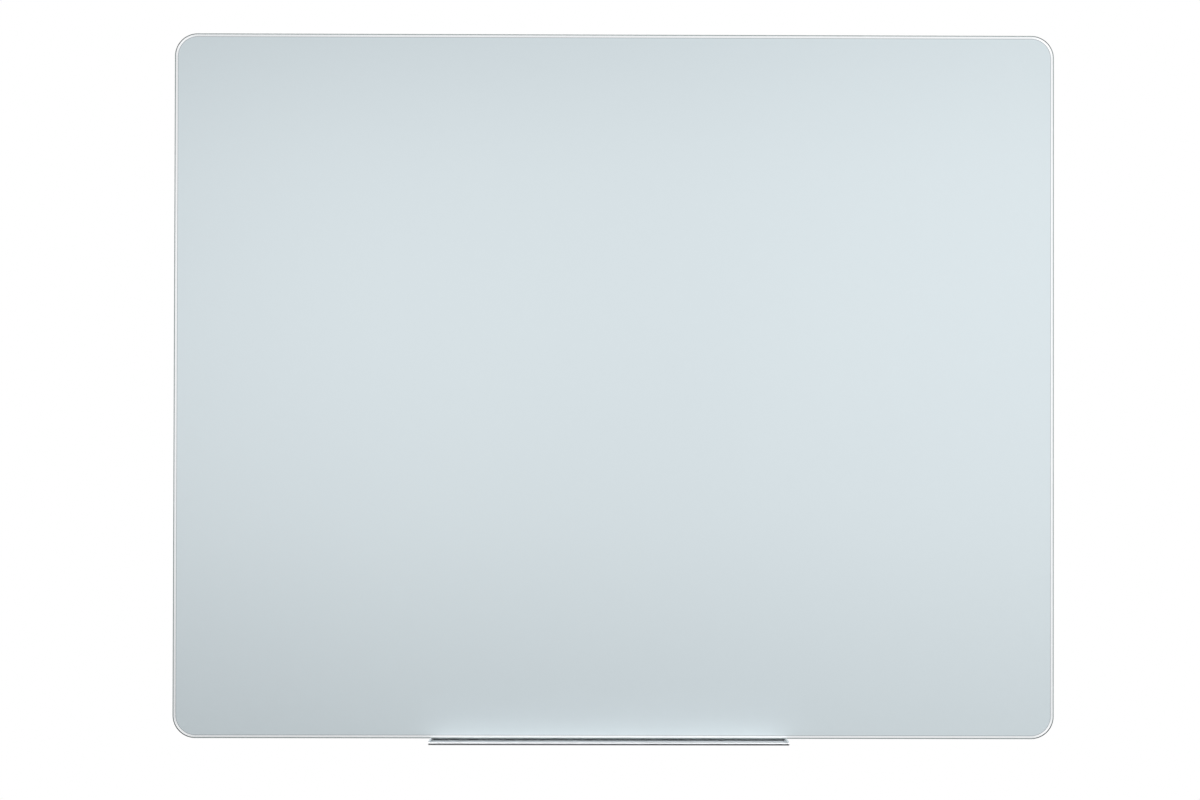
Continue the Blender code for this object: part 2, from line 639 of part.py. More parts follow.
def make_hangers():
    for side, x_sign in (("left", -1), ("right", 1)):
        middle = x_sign * HANGER_SPACING / 2
        guide = [
            (-HANGER_HALF_WIDTH, CHAMBER_FRONT - HANGER_FRONT_WALL), (HANGER_HALF_WIDTH, FRAME_FRONT),
            (HANGER_HALF_WIDTH, HANGER_REAR), (HANGER_MOUTH_HALF, HANGER_REAR),
            (HANGER_MOUTH_HALF, CHAMBER_REAR), (HANGER_CHAMBER_HALF, CHAMBER_REAR),
            (HANGER_CHAMBER_HALF, CHAMBER_FRONT), (-HANGER_CHAMBER_HALF, CHAMBER_FRONT),
            (-HANGER_CHAMBER_HALF, CHAMBER_REAR), (-HANGER_MOUTH_HALF, CHAMBER_REAR),
            (-HANGER_MOUTH_HALF, HANGER_REAR), (-HANGER_HALF_WIDTH, HANGER_REAR),
        ]
        guide = [(middle + u, v) for u, v in guide]
        plate = rounded_rectangle(middle - HANGER_EAR_HALF, middle + HANGER_EAR_HALF,
                                  FRAME_FRONT, HANGER_REAR, HANGER_EAR_RADIUS)
        low = EAR_TOP - HANGER_LENGTH
        body = along_z([guide], low, EAR_BOTTOM + HANGER_EAR_THICK / 2)
        through = HANGER_EAR_THICK + OVERRUN
        cuts = [rod((middle, LEVEL_AXIS, EAR_BOTTOM), Z, DRIVER_RADIUS, -OVERRUN / 2, through)]
        for ear in (-HANGER_EAR_SCREW, HANGER_EAR_SCREW):
            centre = (middle + ear, FRAME_MIDDLE, EAR_BOTTOM)
            cuts.append(rod(centre, Z, SCREW_RADIUS + FIT, -OVERRUN, through))
            seat = Vector((middle + ear, FRAME_MIDDLE, EAR_BOTTOM - FIT))
            profile = screw_profile(SCREW_RADIUS, SCREW_LENGTH, SCREW_HEAD_RADIUS, SCREW_HEAD_HEIGHT)
            recess = drive(cross_outline(), seat - Z * SCREW_HEAD_HEIGHT, -Z, SCREW_DRIVE_DEPTH)
            where = "outer" if ear * x_sign > 0 else "inner"
            screw = turned(profile, seat, -Z, SMALL_STEPS)
            piece(f"{side}_hanger_{where}_screw", screw, STEEL, board, cut=[recess])
        ears = along_z([plate], EAR_BOTTOM, EAR_TOP)
        piece(f"{side}_hanger_block", ears, CAST, board, add=[body], cut=cuts)

        hook = body_at(f"{side}_hook_slide", (middle, LEVEL_AXIS, ARM_TOP), board)
        bar_half = HANGER_CHAMBER_HALF - FIT
        arm_half = HANGER_MOUTH_HALF - FIT
        bar = along_x([fillet([
            (BAR_FRONT, BAR_BOTTOM, HOOK_EDGE), (BAR_REAR, BAR_BOTTOM, HOOK_EDGE),
            (BAR_REAR, ARM_TOP, 0), (BAR_FRONT, ARM_TOP, HOOK_EDGE),
        ], 1)], middle - bar_half, middle + bar_half)
        tip = WEB_TOP + HOOK_TONGUE_DROP
        root = (BAR_REAR + BAR_FRONT) / 2
        arm = along_x([fillet([
            (root, ARM_BOTTOM, 0), (TONGUE_FRONT, ARM_BOTTOM, HOOK_EDGE), (TONGUE_FRONT, tip, HOOK_EDGE),
            (TONGUE_REAR, tip, HOOK_EDGE), (TONGUE_REAR, ARM_TOP, HOOK_THICK - HOOK_EDGE),
            (root, ARM_TOP - HOOK_EDGE, 0),
        ], 2)], middle - arm_half, middle + arm_half)
        axis = Vector((middle, LEVEL_AXIS, 0))
        bore = rod(axis, Z, LEVEL_SCREW_RADIUS + FIT, BAR_BOTTOM - OVERRUN, ARM_TOP + OVERRUN)
        piece(f"{side}_hanging_hook", bar, STEEL, hook, add=[arm], cut=[bore])

        screw = body_at(f"{side}_level_screw_turn", (middle, LEVEL_AXIS, HEAD_BOTTOM), board)
        ring_top = BAR_BOTTOM - FIT
        ring_bottom = ring_top - LEVEL_RING_HEIGHT
        profile = [
            (0, ring_bottom), (LEVEL_HEAD_RADIUS - SCREW_EDGE, ring_bottom),
            (LEVEL_HEAD_RADIUS, ring_bottom + SCREW_EDGE), (LEVEL_HEAD_RADIUS, ring_top),
            (LEVEL_SCREW_RADIUS, ring_top), (LEVEL_SCREW_RADIUS, HEAD_BOTTOM),
            (LEVEL_HEAD_RADIUS, HEAD_BOTTOM), (LEVEL_HEAD_RADIUS, HEAD_TOP - SCREW_EDGE),
            (LEVEL_HEAD_RADIUS - SCREW_EDGE, HEAD_TOP), (0, HEAD_TOP),
        ]
        recess = drive(hexagon(LEVEL_SOCKET), axis + Z * HEAD_TOP, Z, LEVEL_SOCKET_DEPTH)
        piece(f"{side}_levelling_screw", turned(profile, axis, Z), STEEL, screw, cut=[recess])


def tray_outline():
    """Flange, upright, floor and beaded lip of the tray extrusion, as (y, z)."""
    meet = math.degrees(math.asin((TRAY_FLOOR_TOP + BEAD_COVE - BEAD_CENTRE[1]) / (BEAD_RADIUS + BEAD_COVE)))
    cove = arc((TROUGH_FRONT, TRAY_FLOOR_TOP + BEAD_COVE), BEAD_COVE, 270, 180 + meet, FILLET_STEPS)
    bead = arc(BEAD_CENTRE, BEAD_RADIUS, meet, 270, BEAD_STEPS)
    swell = math.degrees(math.acos(PORT_SET_IN / PORT_RADIUS))
    port = arc(PORT_CENTRE, PORT_RADIUS, swell - 180, 180 - swell, 8)
    start = [(UPRIGHT_FRONT, TRAY_TOP, 0), (UPRIGHT_FRONT, TRAY_FLOOR_TOP, TRAY_INNER_RADIUS)]
    start += [(u, v, 0) for u, v in cove[:-1] + bead]
    start += [(UPRIGHT_REAR, TRAY_BOTTOM, TRAY_OUTER_RADIUS)]
    start += [(u, v, 0) for u, v in port]
    start += [(UPRIGHT_REAR, TRAY_TOP - TRAY_THICK, TRAY_FLANGE_RADIUS)]
    start += [(FLANGE_REAR, TRAY_TOP - TRAY_THICK, 0), (FLANGE_REAR, TRAY_TOP, 0)]
    return fillet(start)


def cap_outline():
    """An end cap's face: as high as the lip in front of the glass, stepped to pass beneath it."""
    lip = BEAD_CENTRE[1] + BEAD_RADIUS
    step = GLASS_FRONT - CAP_STEP_AHEAD
    under = GLASS_BOTTOM - CAP_STEP_CLEAR
    back = PORT_CENTRE[0] + PORT_RADIUS
    rise = UPRIGHT_FRONT - CAP_EDGE
    bead = arc(BEAD_CENTRE, BEAD_RADIUS, 90, 270, BEAD_STEPS)
    corners = [(u, v, 0) for u, v in bead]
    corners += [
        (back, TRAY_BOTTOM, TRAY_OUTER_RADIUS), (back, PORT_CENTRE[1] + CAP_BACK_RISE, CAP_EDGE),
        (rise, PORT_CENTRE[1] + CAP_BACK_RISE, CAP_EDGE), (rise, under, CAP_EDGE),
        (step + CAP_STEP_CLEAR, under, CAP_EDGE), (step, lip, CAP_EDGE),
    ]
    return fillet(corners)


def make_tray():
    tray = body_at("tray_slide", (TRAY_OFFSET, FRAME_MIDDLE, TRAY_TOP), board)
    half = TRAY_LENGTH / 2
    nuts = (("left", TRAY_OFFSET - half + NUT_END), ("right", TRAY_OFFSET + half - NUT_END))
    holes = [rod((x, FRAME_MIDDLE, TRAY_TOP), Z, CLAMP_RADIUS + FIT, -TRAY_THICK - OVERRUN, OVERRUN)
             for side, x in nuts]
    loops = [tray_outline(), circle(BEAD_CENTRE, BEAD_BORE), circle(PORT_CENTRE, PORT_BORE)]
    piece("pen_tray", along_x(loops, TRAY_OFFSET - half, TRAY_OFFSET + half), ANODISED, tray, cut=holes)

    mouth = SLOT_MOUTH / 2 - FIT
    inner = SLOT_WIDTH / 2 - FIT
    low = FRAME_BOTTOM + RAIL_WALL + FIT
    high = FRAME_BOTTOM + SLOT_DEPTH - FIT
    tee = fillet([
        (FRAME_MIDDLE - mouth, FRAME_BOTTOM, 0), (FRAME_MIDDLE + mouth, FRAME_BOTTOM, 0),
        (FRAME_MIDDLE + mouth, low, 0), (FRAME_MIDDLE + inner, low, 0),
        (FRAME_MIDDLE + inner, high, NUT_CHAMFER), (FRAME_MIDDLE - inner, high, NUT_CHAMFER),
        (FRAME_MIDDLE - inner, low, 0), (FRAME_MIDDLE - mouth, low, 0),
    ], 1)
    for side, x in nuts:
        bore = rod((x, FRAME_MIDDLE, FRAME_BOTTOM), Z, CLAMP_RADIUS + FIT, -OVERRUN, SLOT_DEPTH + OVERRUN)
        nut = along_x([tee], x - NUT_LENGTH / 2, x + NUT_LENGTH / 2)
        piece(f"{side}_slot_nut", nut, STEEL, tray, cut=[bore])
        seat = Vector((x, FRAME_MIDDLE, TRAY_TOP - TRAY_THICK - FIT))
        profile = screw_profile(CLAMP_RADIUS, high - seat.z, CLAMP_HEAD_RADIUS, CLAMP_HEAD_HEIGHT)
        recess = drive(hexagon(CLAMP_SOCKET), seat - Z * CLAMP_HEAD_HEIGHT, -Z, CLAMP_SOCKET_DEPTH)
        piece(f"{side}_tray_clamp_screw", turned(profile, seat, -Z), STEEL, tray, cut=[recess])

    for side, x_sign in (("left", -1), ("right", 1)):
        inner_face = TRAY_OFFSET + x_sign * (half + FIT)
        outer_face = inner_face + x_sign * CAP_THICK
        plate = along_x([cap_outline()], inner_face, outer_face)
        rims = [e for e in plate.edges if all(abs(v.co.x - outer_face) < MERGE for v in e.verts)
                and e.calc_face_angle(0) > math.radians(45)]
        bmesh.ops.bevel(plate, geom=rims, offset=CAP_EDGE, offset_type="OFFSET", segments=ARRIS_STEPS,
                        profile=0.5, affect="EDGES", clamp_overlap=True, material=-1)
        pegs = []
        for centre, bore in ((BEAD_CENTRE, BEAD_BORE), (PORT_CENTRE, PORT_BORE)):
            place = (inner_face + x_sign * CAP_THICK / 2, *centre)
            pegs.append(rod(place, -X * x_sign, bore - FIT, 0, CAP_PEG_LENGTH + CAP_THICK / 2))
        piece(f"{side}_tray_cap", plate, MOULDED, tray, add=pegs)


clear_scene()
GLASS = make_material("low_iron_glass", (0.86, 0.90, 0.90), 0.03)
FILM = make_material("white_film", (0.88, 0.89, 0.89), 0.4)
ZINC = make_material("zinc_coated_steel", (0.55, 0.56, 0.57), 0.4, 1)
MILL = make_material("mill_aluminium", (0.62, 0.63, 0.64), 0.42, 1)
ANODISED = make_material("anodised_aluminium", (0.70, 0.71, 0.72), 0.3, 1)
MOULDED = make_material("grey_moulding", (0.42, 0.43, 0.44), 0.5)
CAST = make_material("cast_zinc", (0.42, 0.43, 0.44), 0.5, 1)
STEEL = make_material("plated_steel", (0.60, 0.61, 0.63), 0.3, 1)
NYLON = make_material("grey_nylon", (0.36, 0.37, 0.38), 0.6)
RUBBER = make_material("black_rubber", (0.03, 0.03, 0.03), 0.8)

board = body_at("board_lift", (0, FRAME_MIDDLE, GLASS_CENTRE))
make_glass()
make_frame()
make_connectors()
make_connector_screws()
make_stiffener()
make_hangers()
make_tray()
make_wall_side()
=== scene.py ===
import math

import bmesh
import bpy
from mathutils import Matrix, Vector


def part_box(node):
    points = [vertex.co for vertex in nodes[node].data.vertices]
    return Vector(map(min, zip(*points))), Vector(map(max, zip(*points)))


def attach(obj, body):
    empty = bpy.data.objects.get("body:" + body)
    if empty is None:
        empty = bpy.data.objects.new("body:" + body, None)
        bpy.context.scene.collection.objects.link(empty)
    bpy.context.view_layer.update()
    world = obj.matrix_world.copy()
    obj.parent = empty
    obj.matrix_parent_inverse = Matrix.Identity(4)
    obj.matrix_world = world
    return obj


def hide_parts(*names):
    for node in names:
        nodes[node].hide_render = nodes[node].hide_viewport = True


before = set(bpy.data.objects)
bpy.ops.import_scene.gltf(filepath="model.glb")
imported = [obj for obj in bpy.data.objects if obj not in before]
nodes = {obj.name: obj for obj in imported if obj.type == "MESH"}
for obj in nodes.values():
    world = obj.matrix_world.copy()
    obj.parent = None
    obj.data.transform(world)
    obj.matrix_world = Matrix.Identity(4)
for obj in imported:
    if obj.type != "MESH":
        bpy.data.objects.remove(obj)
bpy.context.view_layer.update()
print("frame loaded:", len(nodes), "nodes")

xAxis, yAxis, zAxis = Matrix.Identity(3)


# Camera

view = {
    "lens": 85,
    "sensor": 36,
    "farthest": 60,
    "place": (-0.0602, -4.8505, -0.5944),
    "turnDegrees": (90.642, -0.122, -0.428),
}


def placeCamera():
    data = bpy.data.cameras.new("photoCamera")
    data.lens = view["lens"]
    data.sensor_width = view["sensor"]
    data.clip_end = view["farthest"]
    camera = bpy.data.objects.new("photoCamera", data)
    camera.location = view["place"]
    camera.rotation_euler = [math.radians(a) for a in view["turnDegrees"]]
    bpy.context.scene.collection.objects.link(camera)
    bpy.context.scene.camera = camera


placeCamera()
print("camera placed")


# Shader graphs

black = (0, 0, 0, 1)
white = (1, 1, 1, 1)


def tone(red, green, blue):  # a screen colour, 0 to 255, as the linear colour that shaders take
    shares = [c / 255 for c in (red, green, blue)]
    return tuple(s / 12.92 if s <= 0.04045 else ((s + 0.055) / 1.055) ** 2.4 for s in shares) + (1,)


class Wire:  # an output socket that can be used in sums: each operator adds its Math node
    def __init__(self, graph, socket):
        self.graph = graph
        self.socket = socket

    def join(self, operation, first, second):
        return self.graph.node("Math", {"operation": operation}, {0: first, 1: second})

    def __add__(self, other):
        return self.join("ADD", self, other)

    def __radd__(self, other):
        return self.join("ADD", other, self)

    def __mul__(self, other):
        return self.join("MULTIPLY", self, other)

    def __gt__(self, other):
        return self.join("GREATER_THAN", self, other)


class Graph:  # a node tree; node() adds any node from its type, settings and sockets
    def __init__(self, tree):
        self.tree = tree

    def node(self, kind, settings, sockets, output=0):
        made = self.tree.nodes.new("ShaderNode" + kind)
        for key, value in settings.items():
            if key == "stops":
                self.setStops(made.color_ramp.elements, value)
            else:
                setattr(made, key, value)
        for key, value in sockets.items():
            self.feed(made.inputs[key], value)
        return Wire(self, made.outputs[output])

    def setStops(self, elements, stops):
        while len(elements) < len(stops):
            elements.new(1)
        for element, (place, shade) in zip(elements, stops):
            element.position = place
            element.color = shade if isinstance(shade, tuple) else (shade, shade, shade, 1)

    def feed(self, socket, value):
        if isinstance(value, Wire):
            self.tree.links.new(value.socket, socket)
        else:
            socket.default_value = value

    def blend(self, factor, first, second):  # between two colours
        return self.node("Mix", {"data_type": "RGBA"}, {0: factor, 6: first, 7: second}, 2)

    def noise(self, stretch, detail=2, roughness=0.5, shift=(0, 0, 0)):  # stretch is in features per metre
        if isinstance(stretch, (int, float)):
            stretch = (stretch,) * 3
        where = self.node("TexCoord", {}, {}, "Object")
        where = self.node("Mapping", {}, {"Vector": where, "Location": shift, "Scale": stretch})
        return self.node("TexNoise", {}, {
            "Vector": where, "Scale": 1, "Detail": detail, "Roughness": roughness}, "Fac")


class Finish(Graph):  # a Principled material; fixed values go on its sockets, and set() feeds what varies
    def __init__(self, name, fixed):
        self.material = bpy.data.materials.new(name)
        self.material.use_nodes = True
        super().__init__(self.material.node_tree)
        self.shader = self.tree.nodes["Principled BSDF"]
        for socket, value in fixed.items():
            self.shader.inputs[socket].default_value = value

    def set(self, socket, value):
        self.feed(self.shader.inputs[socket], value)

    def bump(self, height, depth, strength=1.0):  # depth in metres
        self.set("Normal", self.node("Bump", {}, {"Height": height, "Distance": depth, "Strength": strength}))

    def between(self, factor, low, high):  # a number that runs from low to high
        return low + factor * (high - low)

    def dress(self, look, shade, sheen):  # colour and roughness that vary between a look's ends
        self.set("Base Color", self.blend(shade, look["dark"], look["light"]))
        self.set("Roughness", self.between(sheen, *look["gloss"]))


# Finishes

pane = {  # its round corner sets two of the finishes too
    "corner": 0.039, "cornerSteps": 36, "arris": 0.0019, "arrisSteps": 6, "arrisFrom": 80,
    "clearMargin": 0.0054, "filmBorder": 0.0008,
}
paneLow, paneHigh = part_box("glass_panel")
glassIndex = 1.52
whiteGlass = {
    "light": tone(220, 230, 233), "dark": tone(218, 228, 232), "gloss": (0.030, 0.070),
    "cloud": 2.1, "wipe": (9, 9, 34), "fine": 260,
}
# painted shade: a thin dark line along the film's edge, seen through the glass
filmEdgeShade = {"light": tone(168, 176, 180), "dark": tone(154, 163, 167), "roughness": 0.05, "fine": 400}
# painted highlight: the clear margin drawn near-white, and a painted glow in its round corners
litMargin = {
    "light": tone(254, 255, 255), "dark": tone(250, 252, 253), "gloss": (0.02, 0.06),
    "cloud": 60, "wipe": 90, "cornerGlow": 0.20,
}
groundGlass = {
    # corner: painted shade for the dark reflection in the rounded corners
    "light": tone(174, 184, 184), "dark": tone(156, 168, 168), "corner": tone(50, 56, 60),
    "gloss": (0.25, 0.40), "clear": 0.12, "grind": 900, "patch": (14, 40, 14), "depth": 0.00004,
}


# mask for the painted shade in the ground edge's corners and the painted glow in the margin's corners
def roundCorner(finish):  # 0 along the pane's straight sides, rising to 1 in the middle of each round corner
    middle = (paneLow + paneHigh) / 2
    straight = (paneHigh - paneLow) / 2 - Vector((1, 0, 1)) * pane["corner"]
    where = finish.node("TexCoord", {}, {}, "Object")
    where = finish.node("VectorMath", {"operation": "SUBTRACT"}, {0: where, 1: middle})
    where = finish.node("VectorMath", {"operation": "ABSOLUTE"}, {0: where})
    where = finish.node("VectorMath", {"operation": "SUBTRACT"}, {0: where, 1: straight})
    where = finish.node("VectorMath", {"operation": "MAXIMUM"}, {0: where, 1: (0, 0, 0)})
    across = finish.node("SeparateXYZ", {}, {0: where}, 0)
    upright = finish.node("SeparateXYZ", {}, {0: where}, 2)
    return across * upright * (2 / pane["corner"] ** 2)


def makeWhiteGlass():  # white film seen through the polished front face
    finish = Finish("whiteBehindGlass", {"IOR": glassIndex})
    cloud = finish.noise(whiteGlass["cloud"], detail=3, roughness=0.45)
    wipe = finish.noise(whiteGlass["wipe"], detail=4, roughness=0.6, shift=(3, 0, 1))  # sideways wipe marks
    fine = finish.noise(whiteGlass["fine"])
    finish.dress(whiteGlass, cloud * 0.8 + fine * 0.2, wipe)
    return finish.material


def makeFilmEdgeShade():  # border of the film, drawn as a thin line of painted shade where the film's edge shows dark through the glass
    finish = Finish("filmBorder", {"IOR": glassIndex, "Roughness": filmEdgeShade["roughness"]})
    fine = finish.noise(filmEdgeShade["fine"])
    finish.set("Base Color", finish.blend(fine, filmEdgeShade["dark"], filmEdgeShade["light"]))
    return finish.material


def makeLitMargin():  # clear glass border outside the film, drawn opaque near-white as a painted highlight for the light the ground edge gathers, with a painted glow in the round corners
    finish = Finish("litGlassMargin", {"IOR": glassIndex, "Emission Strength": litMargin["cornerGlow"]})
    finish.dress(litMargin, finish.noise(litMargin["cloud"]), finish.noise(litMargin["wipe"]))
    finish.set("Emission Color", finish.blend(roundCorner(finish), black, white))
    return finish.material


def makeGroundGlass():  # satin ground edge, with painted shade making it darker round the corners, where the rounded arris would reflect dark surroundings
    finish = Finish("groundGlassEdge", {"IOR": glassIndex, "Transmission Weight": groundGlass["clear"]})
    grind = finish.noise(groundGlass["grind"], detail=3, roughness=0.7)
    patch = finish.noise(groundGlass["patch"], detail=2, roughness=0.5, shift=(5, 2, 0))
    straight = finish.blend(patch * 0.7 + grind * 0.3, groundGlass["dark"], groundGlass["light"])
    # painted shade: the edge darkens towards the middle of each round corner
    finish.set("Base Color", finish.blend(roundCorner(finish), straight, groundGlass["corner"]))
    finish.set("Roughness", finish.between(grind, *groundGlass["gloss"]))
    finish.bump(grind, groundGlass["depth"], strength=0.5)
    return finish.material


film = {
    "light": tone(236, 238, 238), "dark": tone(224, 226, 226), "gloss": (0.35, 0.50),
    "cloud": 35, "fine": 300,
}


def makeFilm():  # plain white plastic
    finish = Finish("whiteFilm", {})
    finish.dress(film, finish.noise(film["cloud"], detail=3), finish.noise(film["fine"]))
    return finish.material


aluminium = {
    "anodised": {
        "light": tone(228, 230, 232), "dark": tone(218, 221, 224), "gloss": (0.40, 0.48),
        "depth": 0.00002,
    },
    "mill": {
        "light": tone(206, 208, 210), "dark": tone(178, 181, 184), "gloss": (0.32, 0.50),
        "depth": 0.00004,
    },
    "lines": 1500,
    "broadLines": 260,
    "alongLines": 3,
    "cloud": 7,
}


def makeAluminium(name, kind, along):  # extruded: die lines run along X or Z
    look = aluminium[kind]
    finish = Finish(name, {"Metallic": 1.0})

    def lines(across, shift):
        stretch = [across] * 3
        stretch["XYZ".index(along)] = aluminium["alongLines"]
        return finish.noise(stretch, detail=2, roughness=0.6, shift=shift)

    fine = lines(aluminium["lines"], (0, 1, 2))
    broad = lines(aluminium["broadLines"], (4, 0, 7))
    cloud = finish.noise(aluminium["cloud"], detail=3, roughness=0.55)
    finish.dress(look, broad * 0.5 + cloud * 0.3 + fine * 0.2, fine * 0.6 + cloud * 0.4)
    finish.bump(fine * 0.7 + broad * 0.3, look["depth"], strength=0.6)
    return finish.material


zinc = {
    "light": tone(196, 199, 201), "dark": tone(176, 180, 184), "gloss": (0.38, 0.50), "metal": 0.85,
    "spangle": 120, "warp": 30, "push": 0.006, "rolled": (1, 1, 0.45), "cloud": 3.2, "grain": 500,
    "depth": 0.00003,
}


def makeZincSheet(name, rolled=(1, 1, 1)):  # zinc coating with a faint spangle
    finish = Finish(name, {"Metallic": zinc["metal"]})
    where = finish.node("TexCoord", {}, {}, "Object")
    push = finish.noise(zinc["warp"], detail=2, roughness=0.5, shift=(1, 5, 2)) * zinc["push"]
    aside = finish.node("CombineXYZ", {}, {0: push, 1: 0.0, 2: push})
    where = finish.node("VectorMath", {"operation": "ADD"}, {0: where, 1: aside})
    where = finish.node("Mapping", {}, {"Vector": where, "Scale": rolled})
    cell = finish.node("TexVoronoi", {}, {"Vector": where, "Scale": zinc["spangle"]}, "Color")
    facet = finish.node("SeparateColor", {}, {"Color": cell})
    cloud = finish.noise(zinc["cloud"], detail=4, roughness=0.6)
    finish.dress(zinc, facet * 0.3 + cloud * 0.7, facet * 0.5 + cloud * 0.5)
    finish.bump(facet * 0.6 + finish.noise(zinc["grain"]) * 0.4, zinc["depth"], strength=0.4)
    return finish.material


castZinc = {
    "light": tone(186, 188, 191), "dark": tone(150, 152, 156), "gloss": (0.42, 0.62),
    "grain": 700, "flow": (60, 60, 90), "depth": 0.00008,
}


def makeCastZinc():  # die-cast, tumbled
    finish = Finish("castZinc", {"Metallic": 1.0})
    grain = finish.noise(castZinc["grain"], detail=3, roughness=0.65)
    flow = finish.noise(castZinc["flow"], detail=3, roughness=0.6, shift=(2, 0, 4))
    finish.dress(castZinc, flow * 0.7 + grain * 0.3, grain * 0.5 + flow * 0.5)
    finish.bump(grain * 0.6 + flow * 0.4, castZinc["depth"], strength=0.6)
    return finish.material


plating = {
    "blue": tone(198, 205, 214), "straw": tone(216, 214, 204), "worn": tone(176, 178, 182),
    "wornShare": 0.35, "gloss": (0.20, 0.40), "tint": 170, "wear": 900, "depth": 0.00003,
}


def makePlatedSteel():  # bright zinc plate, clear passivated: a breath of blue and straw
    finish = Finish("brightZincPlate", {"Metallic": 1.0})
    wear = finish.noise(plating["wear"], detail=3, roughness=0.7, shift=(1, 1, 3))
    plate = finish.blend(finish.noise(plating["tint"]), plating["blue"], plating["straw"])
    finish.set("Base Color", finish.blend(wear * plating["wornShare"], plate, plating["worn"]))
    finish.set("Roughness", finish.between(wear, *plating["gloss"]))
    finish.bump(wear, plating["depth"], strength=0.4)
    return finish.material


mouldings = {
    "greyMoulding": {
        "light": tone(176, 178, 180), "dark": tone(160, 162, 165), "gloss": (0.42, 0.58),
        "depth": 0.00004, "metal": 0,
    },
    "silverMoulding": {
        "light": tone(236, 238, 240), "dark": tone(226, 229, 232), "gloss": (0.42, 0.52),
        "depth": 0.00003, "metal": 1,
    },
    "greyNylon": {
        "light": tone(168, 170, 172), "dark": tone(150, 152, 155), "gloss": (0.45, 0.62),
        "depth": 0.00005, "metal": 0,
    },
    "blackRubber": {
        "light": tone(48, 48, 49), "dark": tone(34, 34, 35), "gloss": (0.66, 0.86),
        "depth": 0.00006, "metal": 0,
    },
    "index": 1.48,
    "grain": 1100,
    "cloud": 40,
}


def makeMoulding(name):  # fine-textured plastic or rubber
    look = mouldings[name]
    finish = Finish(name, {"IOR": mouldings["index"], "Metallic": look["metal"]})
    grain = finish.noise(mouldings["grain"], detail=3, roughness=0.6)
    cloud = finish.noise(mouldings["cloud"], detail=3, roughness=0.5, shift=(0, 3, 1))
    finish.dress(look, cloud * 0.6 + grain * 0.4, grain * 0.6 + cloud * 0.4)
    finish.bump(grain, look["depth"], strength=0.7)
    return finish.material


finishes = {
    "whiteGlass": makeWhiteGlass(),
    "filmEdgeShade": makeFilmEdgeShade(),
    "litMargin": makeLitMargin(),
    "groundGlass": makeGroundGlass(),
    "film": makeFilm(),
    "anodised": makeAluminium("satinAnodised", "anodised", "X"),
    "millAcross": makeAluminium("millAluminiumAcross", "mill", "X"),
    "millUpright": makeAluminium("millAluminiumUpright", "mill", "Z"),
    "zincSheet": makeZincSheet("zincCoatedSheet"),
    "zincStrip": makeZincSheet("zincCoatedStrip", zinc["rolled"]),
    "cast": makeCastZinc(),
    "plated": makePlatedSteel(),
    "connector": makeMoulding("greyMoulding"),
    "trayCap": makeMoulding("silverMoulding"),
    "nylon": makeMoulding("greyNylon"),
    "rubber": makeMoulding("blackRubber"),
}
print("finishes made:", len(finishes))


# Modelling

mergeWithin = {"turned": 0.000001, "carved": 0.000001, "copied": 0.000002}  # metres
flatWithin = 0.5  # degrees


def placed(u, v, w, origin=(0, 0, 0)):  # stands a flat outline up: its u, v and run point along these
    stand = Matrix((u, v, w)).transposed().to_4x4()
    stand.translation = origin
    return stand


alongX = placed(yAxis, zAxis, xAxis)
alongY = placed(xAxis, zAxis, -yAxis)
alongZ = placed(xAxis, yAxis, zAxis)


class Pen:  # draws an outline in a flat bmesh: straight runs, and arcs spun from their first point
    def __init__(self, u, v):
        self.bm = bmesh.new()
        self.first = self.bm.verts.new((u, v, 0))
        self.tip = self.first

    def to(self, u, v):
        before = self.tip
        self.tip = self.bm.verts.new((u, v, 0))
        self.bm.edges.new((before, self.tip))

    def turn(self, u, v, degrees, steps):  # round the centre u, v
        spun = bmesh.ops.spin(
            self.bm, geom=[self.tip], cent=(u, v, 0), axis=(0, 0, 1), dvec=(0, 0, 0),
            angle=math.radians(degrees), steps=steps, use_merge=False, use_duplicate=False)
        self.tip = spun["geom_last"][0]

    def bend(self, u, v, radius, towards, steps=5):  # a rounded corner at u, v that leaves towards that point
        corner = Vector((u, v))
        arriving = (corner - self.tip.co.xy).normalized()
        leaving = (Vector(towards) - corner).normalized()
        angle = arriving.angle_signed(leaving)  # clockwise positive
        start = corner - arriving * radius * math.tan(abs(angle) / 2)
        side = Vector((arriving.y, -arriving.x)) * math.copysign(radius, angle)
        self.to(*start)
        self.turn(*(start + side), -math.degrees(angle), steps)

    def close(self):
        self.bm.edges.new((self.tip, self.first))
        return self.bm


def outlined(corners, steps=5):  # a closed outline through corners given as u, v and radius
    last = Vector(corners[-1][:2])
    pen = Pen(*last.lerp(Vector(corners[0][:2]), 0.5))
    for (u, v, radius), onward in zip(corners, corners[1:] + corners[:1]):
        if radius:
            pen.bend(u, v, radius, onward[:2], steps)
        else:
            pen.to(u, v)
    return pen.close()


def ringAt(u, v, radius, steps=24):  # a closed round outline
    bm = bmesh.new()
    bmesh.ops.create_circle(bm, segments=steps, radius=radius, matrix=Matrix.Translation((u, v, 0)))
    return bm


def joined(*parts):  # several bmeshes as one
    whole = bmesh.new()
    for part in parts:
        passing = bpy.data.meshes.new("passing")
        part.to_mesh(passing)
        part.free()
        whole.from_mesh(passing)
        bpy.data.meshes.remove(passing)
    return whole


def swept(stand, start, end, *outlines):  # fills the outlines, inner ones as holes, and runs them along
    bm = joined(*outlines)
    bmesh.ops.triangle_fill(bm, use_beauty=True, edges=bm.edges[:])
    bmesh.ops.translate(bm, vec=(0, 0, start), verts=bm.verts[:])
    grown = bmesh.ops.extrude_face_region(bm, geom=bm.faces[:])
    moved = [g for g in grown["geom"] if isinstance(g, bmesh.types.BMVert)]
    bmesh.ops.translate(bm, vec=(0, 0, end - start), verts=moved)
    bmesh.ops.transform(bm, matrix=stand, verts=bm.verts[:])
    bmesh.ops.recalc_face_normals(bm, faces=bm.faces[:])
    return bm


